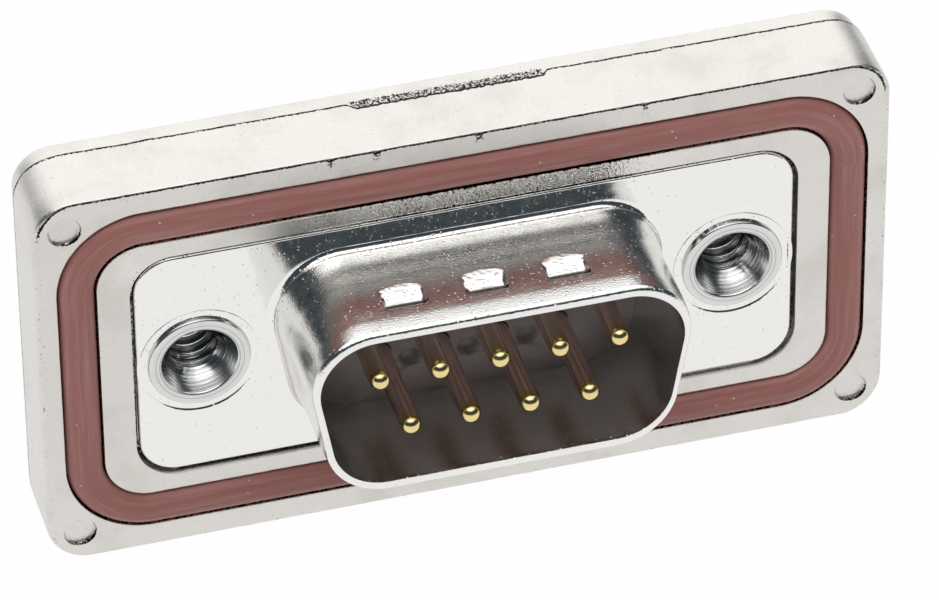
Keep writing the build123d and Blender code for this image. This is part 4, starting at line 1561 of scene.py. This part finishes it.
class CONNECTOR_OT_studio(Operator):
    """Set the floor, the white room, the softbox and the camera"""

    bl_idname = "connector.studio"
    bl_label = "Studio"

    def execute(self, context):
        studio = context.scene.connector.studio
        self.add_floor(studio)
        self.add_room(context.scene, studio)
        self.add_softbox(studio)
        self.add_camera(context.scene, studio)
        context.scene.view_settings.view_transform = "Standard"
        return {"FINISHED"}

    def add_floor(self, studio):
        """A large plane under the casting's long edge, white to the camera and in reflections."""
        half = 3.0
        corners = [(-half, -half), (half, -half), (half, half), (-half, half)]
        data = bpy.data.meshes.new("floor")
        data.from_pydata([(x, y, CASTING_LOW.z) for x, y in corners], [], [(0, 1, 2, 3)])
        floor = bpy.data.objects.new("floor", data)
        bpy.context.scene.collection.objects.link(floor)
        material, tree, _ = new_material("white paper floor")
        paper = add_node(tree, "ShaderNodeBsdfDiffuse", {"Color": rgba(studio.floor)})
        glow = add_node(tree, "ShaderNodeEmission", {"Color": rgba(WHITE), "Strength": 1.0})
        path = add_node(tree, "ShaderNodeLightPath")
        seen = add_node(tree, "ShaderNodeMath", {
            0: path.outputs["Is Camera Ray"], 1: path.outputs["Is Glossy Ray"]
        }, operation="MAXIMUM")
        shown = add_node(tree, "ShaderNodeMath", {
            0: seen, 1: path.outputs["Is Transmission Ray"]
        }, operation="MAXIMUM")
        share = add_node(tree, "ShaderNodeMath", {0: shown, 1: studio.floor_glow}, operation="MULTIPLY")
        mixed = add_node(tree, "ShaderNodeMixShader", {0: share, 1: paper, 2: glow})
        add_node(tree, "ShaderNodeOutputMaterial", {"Surface": mixed})
        data.materials.append(material)

    def add_room(self, scene, studio):
        """A white sweep behind and overhead, and a dark room on the camera's side."""
        world = bpy.data.worlds.new("studio room")
        scene.world = world
        world.use_nodes = True
        tree = world.node_tree
        tree.nodes.clear()
        direction = add_node(tree, "ShaderNodeTexCoord")
        parts = add_node(tree, "ShaderNodeSeparateXYZ", {0: direction.outputs["Generated"]})
        overhead = add_node(tree, "ShaderNodeMapRange", {
            "Value": parts.outputs["Z"], "From Min": 0.66, "From Max": 0.74
        }, interpolation_type="SMOOTHSTEP")
        level = add_node(tree, "ShaderNodeCombineXYZ", {"X": parts.outputs["X"], "Y": parts.outputs["Y"]})
        heading = add_node(tree, "ShaderNodeVectorMath", {0: level}, operation="NORMALIZE")
        heading_parts = add_node(tree, "ShaderNodeSeparateXYZ", {0: heading})
        behind = add_node(tree, "ShaderNodeMapRange", {
            "Value": heading_parts.outputs["Y"], "From Min": 0.74, "From Max": 0.83
        }, interpolation_type="SMOOTHSTEP")
        white = add_node(tree, "ShaderNodeMath", {0: overhead, 1: behind}, operation="MAXIMUM")
        sweep = rgba([studio.sweep] * 3)
        lit = add_node(tree, "ShaderNodeMix", {
            "Factor": white, "A": rgba(studio.room), "B": sweep
        }, data_type="RGBA")
        path = add_node(tree, "ShaderNodeLightPath")
        seen = add_node(tree, "ShaderNodeMix", {
            "Factor": path.outputs["Is Camera Ray"], "A": lit, "B": rgba(WHITE)
        }, data_type="RGBA")
        back = add_node(tree, "ShaderNodeBackground", {"Color": seen, "Strength": 1.0})
        add_node(tree, "ShaderNodeOutputWorld", {"Surface": back})

    def add_softbox(self, studio):
        """A large soft lamp above and a little in front."""
        lamp = bpy.data.lights.new("softbox", "AREA")
        lamp.shape = "RECTANGLE"
        lamp.size = 0.5
        lamp.size_y = 0.35
        lamp.energy = studio.box_power
        box = bpy.data.objects.new("softbox", lamp)
        box.location = (-0.1, -0.2, 0.55)
        box.rotation_euler = (-box.location).to_track_quat("-Z", "Y").to_euler()
        bpy.context.scene.collection.objects.link(box)

    def add_camera(self, scene, studio):
        """The camera at the photograph's place."""
        data = bpy.data.cameras.new("camera")
        data.lens = studio.lens
        data.clip_start = 0.01
        data.clip_end = 20
        camera = bpy.data.objects.new("camera", data)
        scene.collection.objects.link(camera)
        away = Vector((
            -math.sin(studio.azimuth) * math.cos(studio.elevation),
            -math.cos(studio.azimuth) * math.cos(studio.elevation),
            math.sin(studio.elevation),
        ))
        camera.location = Vector(studio.aim) + away * studio.distance
        turn = (-away).to_track_quat("-Z", "Y").to_matrix().to_4x4() @ Matrix.Rotation(studio.roll, 4, "Z")
        camera.rotation_euler = turn.to_euler()
        scene.camera = camera


OPERATORS = (
    CONNECTOR_OT_casting, CONNECTOR_OT_gasket, CONNECTOR_OT_front_shell, CONNECTOR_OT_rear_shell,
    CONNECTOR_OT_insulators, CONNECTOR_OT_inserts, CONNECTOR_OT_contacts, CONNECTOR_OT_compound,
    CONNECTOR_OT_studio,
)
GROUPS = (CastingSizes, ShellSizes, TurnedSizes, Finishes, StudioSettings, ConnectorSettings)


class CONNECTOR_PT_panel(Panel):
    """The connector's pieces and settings"""

    bl_label = "Sealed panel connector"
    bl_idname = "CONNECTOR_PT_panel"
    bl_space_type = "VIEW_3D"
    bl_region_type = "UI"
    bl_category = "Connector"

    def draw(self, context):
        settings = context.scene.connector
        for operator in OPERATORS:
            self.layout.operator(operator.bl_idname)
        for name in ("casting", "shell", "turned", "finishes", "studio"):
            group = getattr(settings, name)
            box = self.layout.box()
            box.label(text=name.capitalize())
            for key in group.__annotations__:
                box.prop(group, key)


def register():
    for group in (*GROUPS, *OPERATORS, CONNECTOR_PT_panel):
        bpy.utils.register_class(group)
    bpy.types.Scene.connector = PointerProperty(type=ConnectorSettings)


def unregister():
    del bpy.types.Scene.connector
    for group in reversed((*GROUPS, *OPERATORS, CONNECTOR_PT_panel)):
        bpy.utils.unregister_class(group)


def main():
    register()
    bpy.ops.connector.studio()
    bpy.ops.connector.casting()
    bpy.ops.connector.gasket()
    bpy.ops.connector.front_shell()
    bpy.ops.connector.rear_shell()
    bpy.ops.connector.insulators()
    bpy.ops.connector.inserts()
    bpy.ops.connector.contacts()
    bpy.ops.connector.compound()


if __name__ == "__main__":
    main()
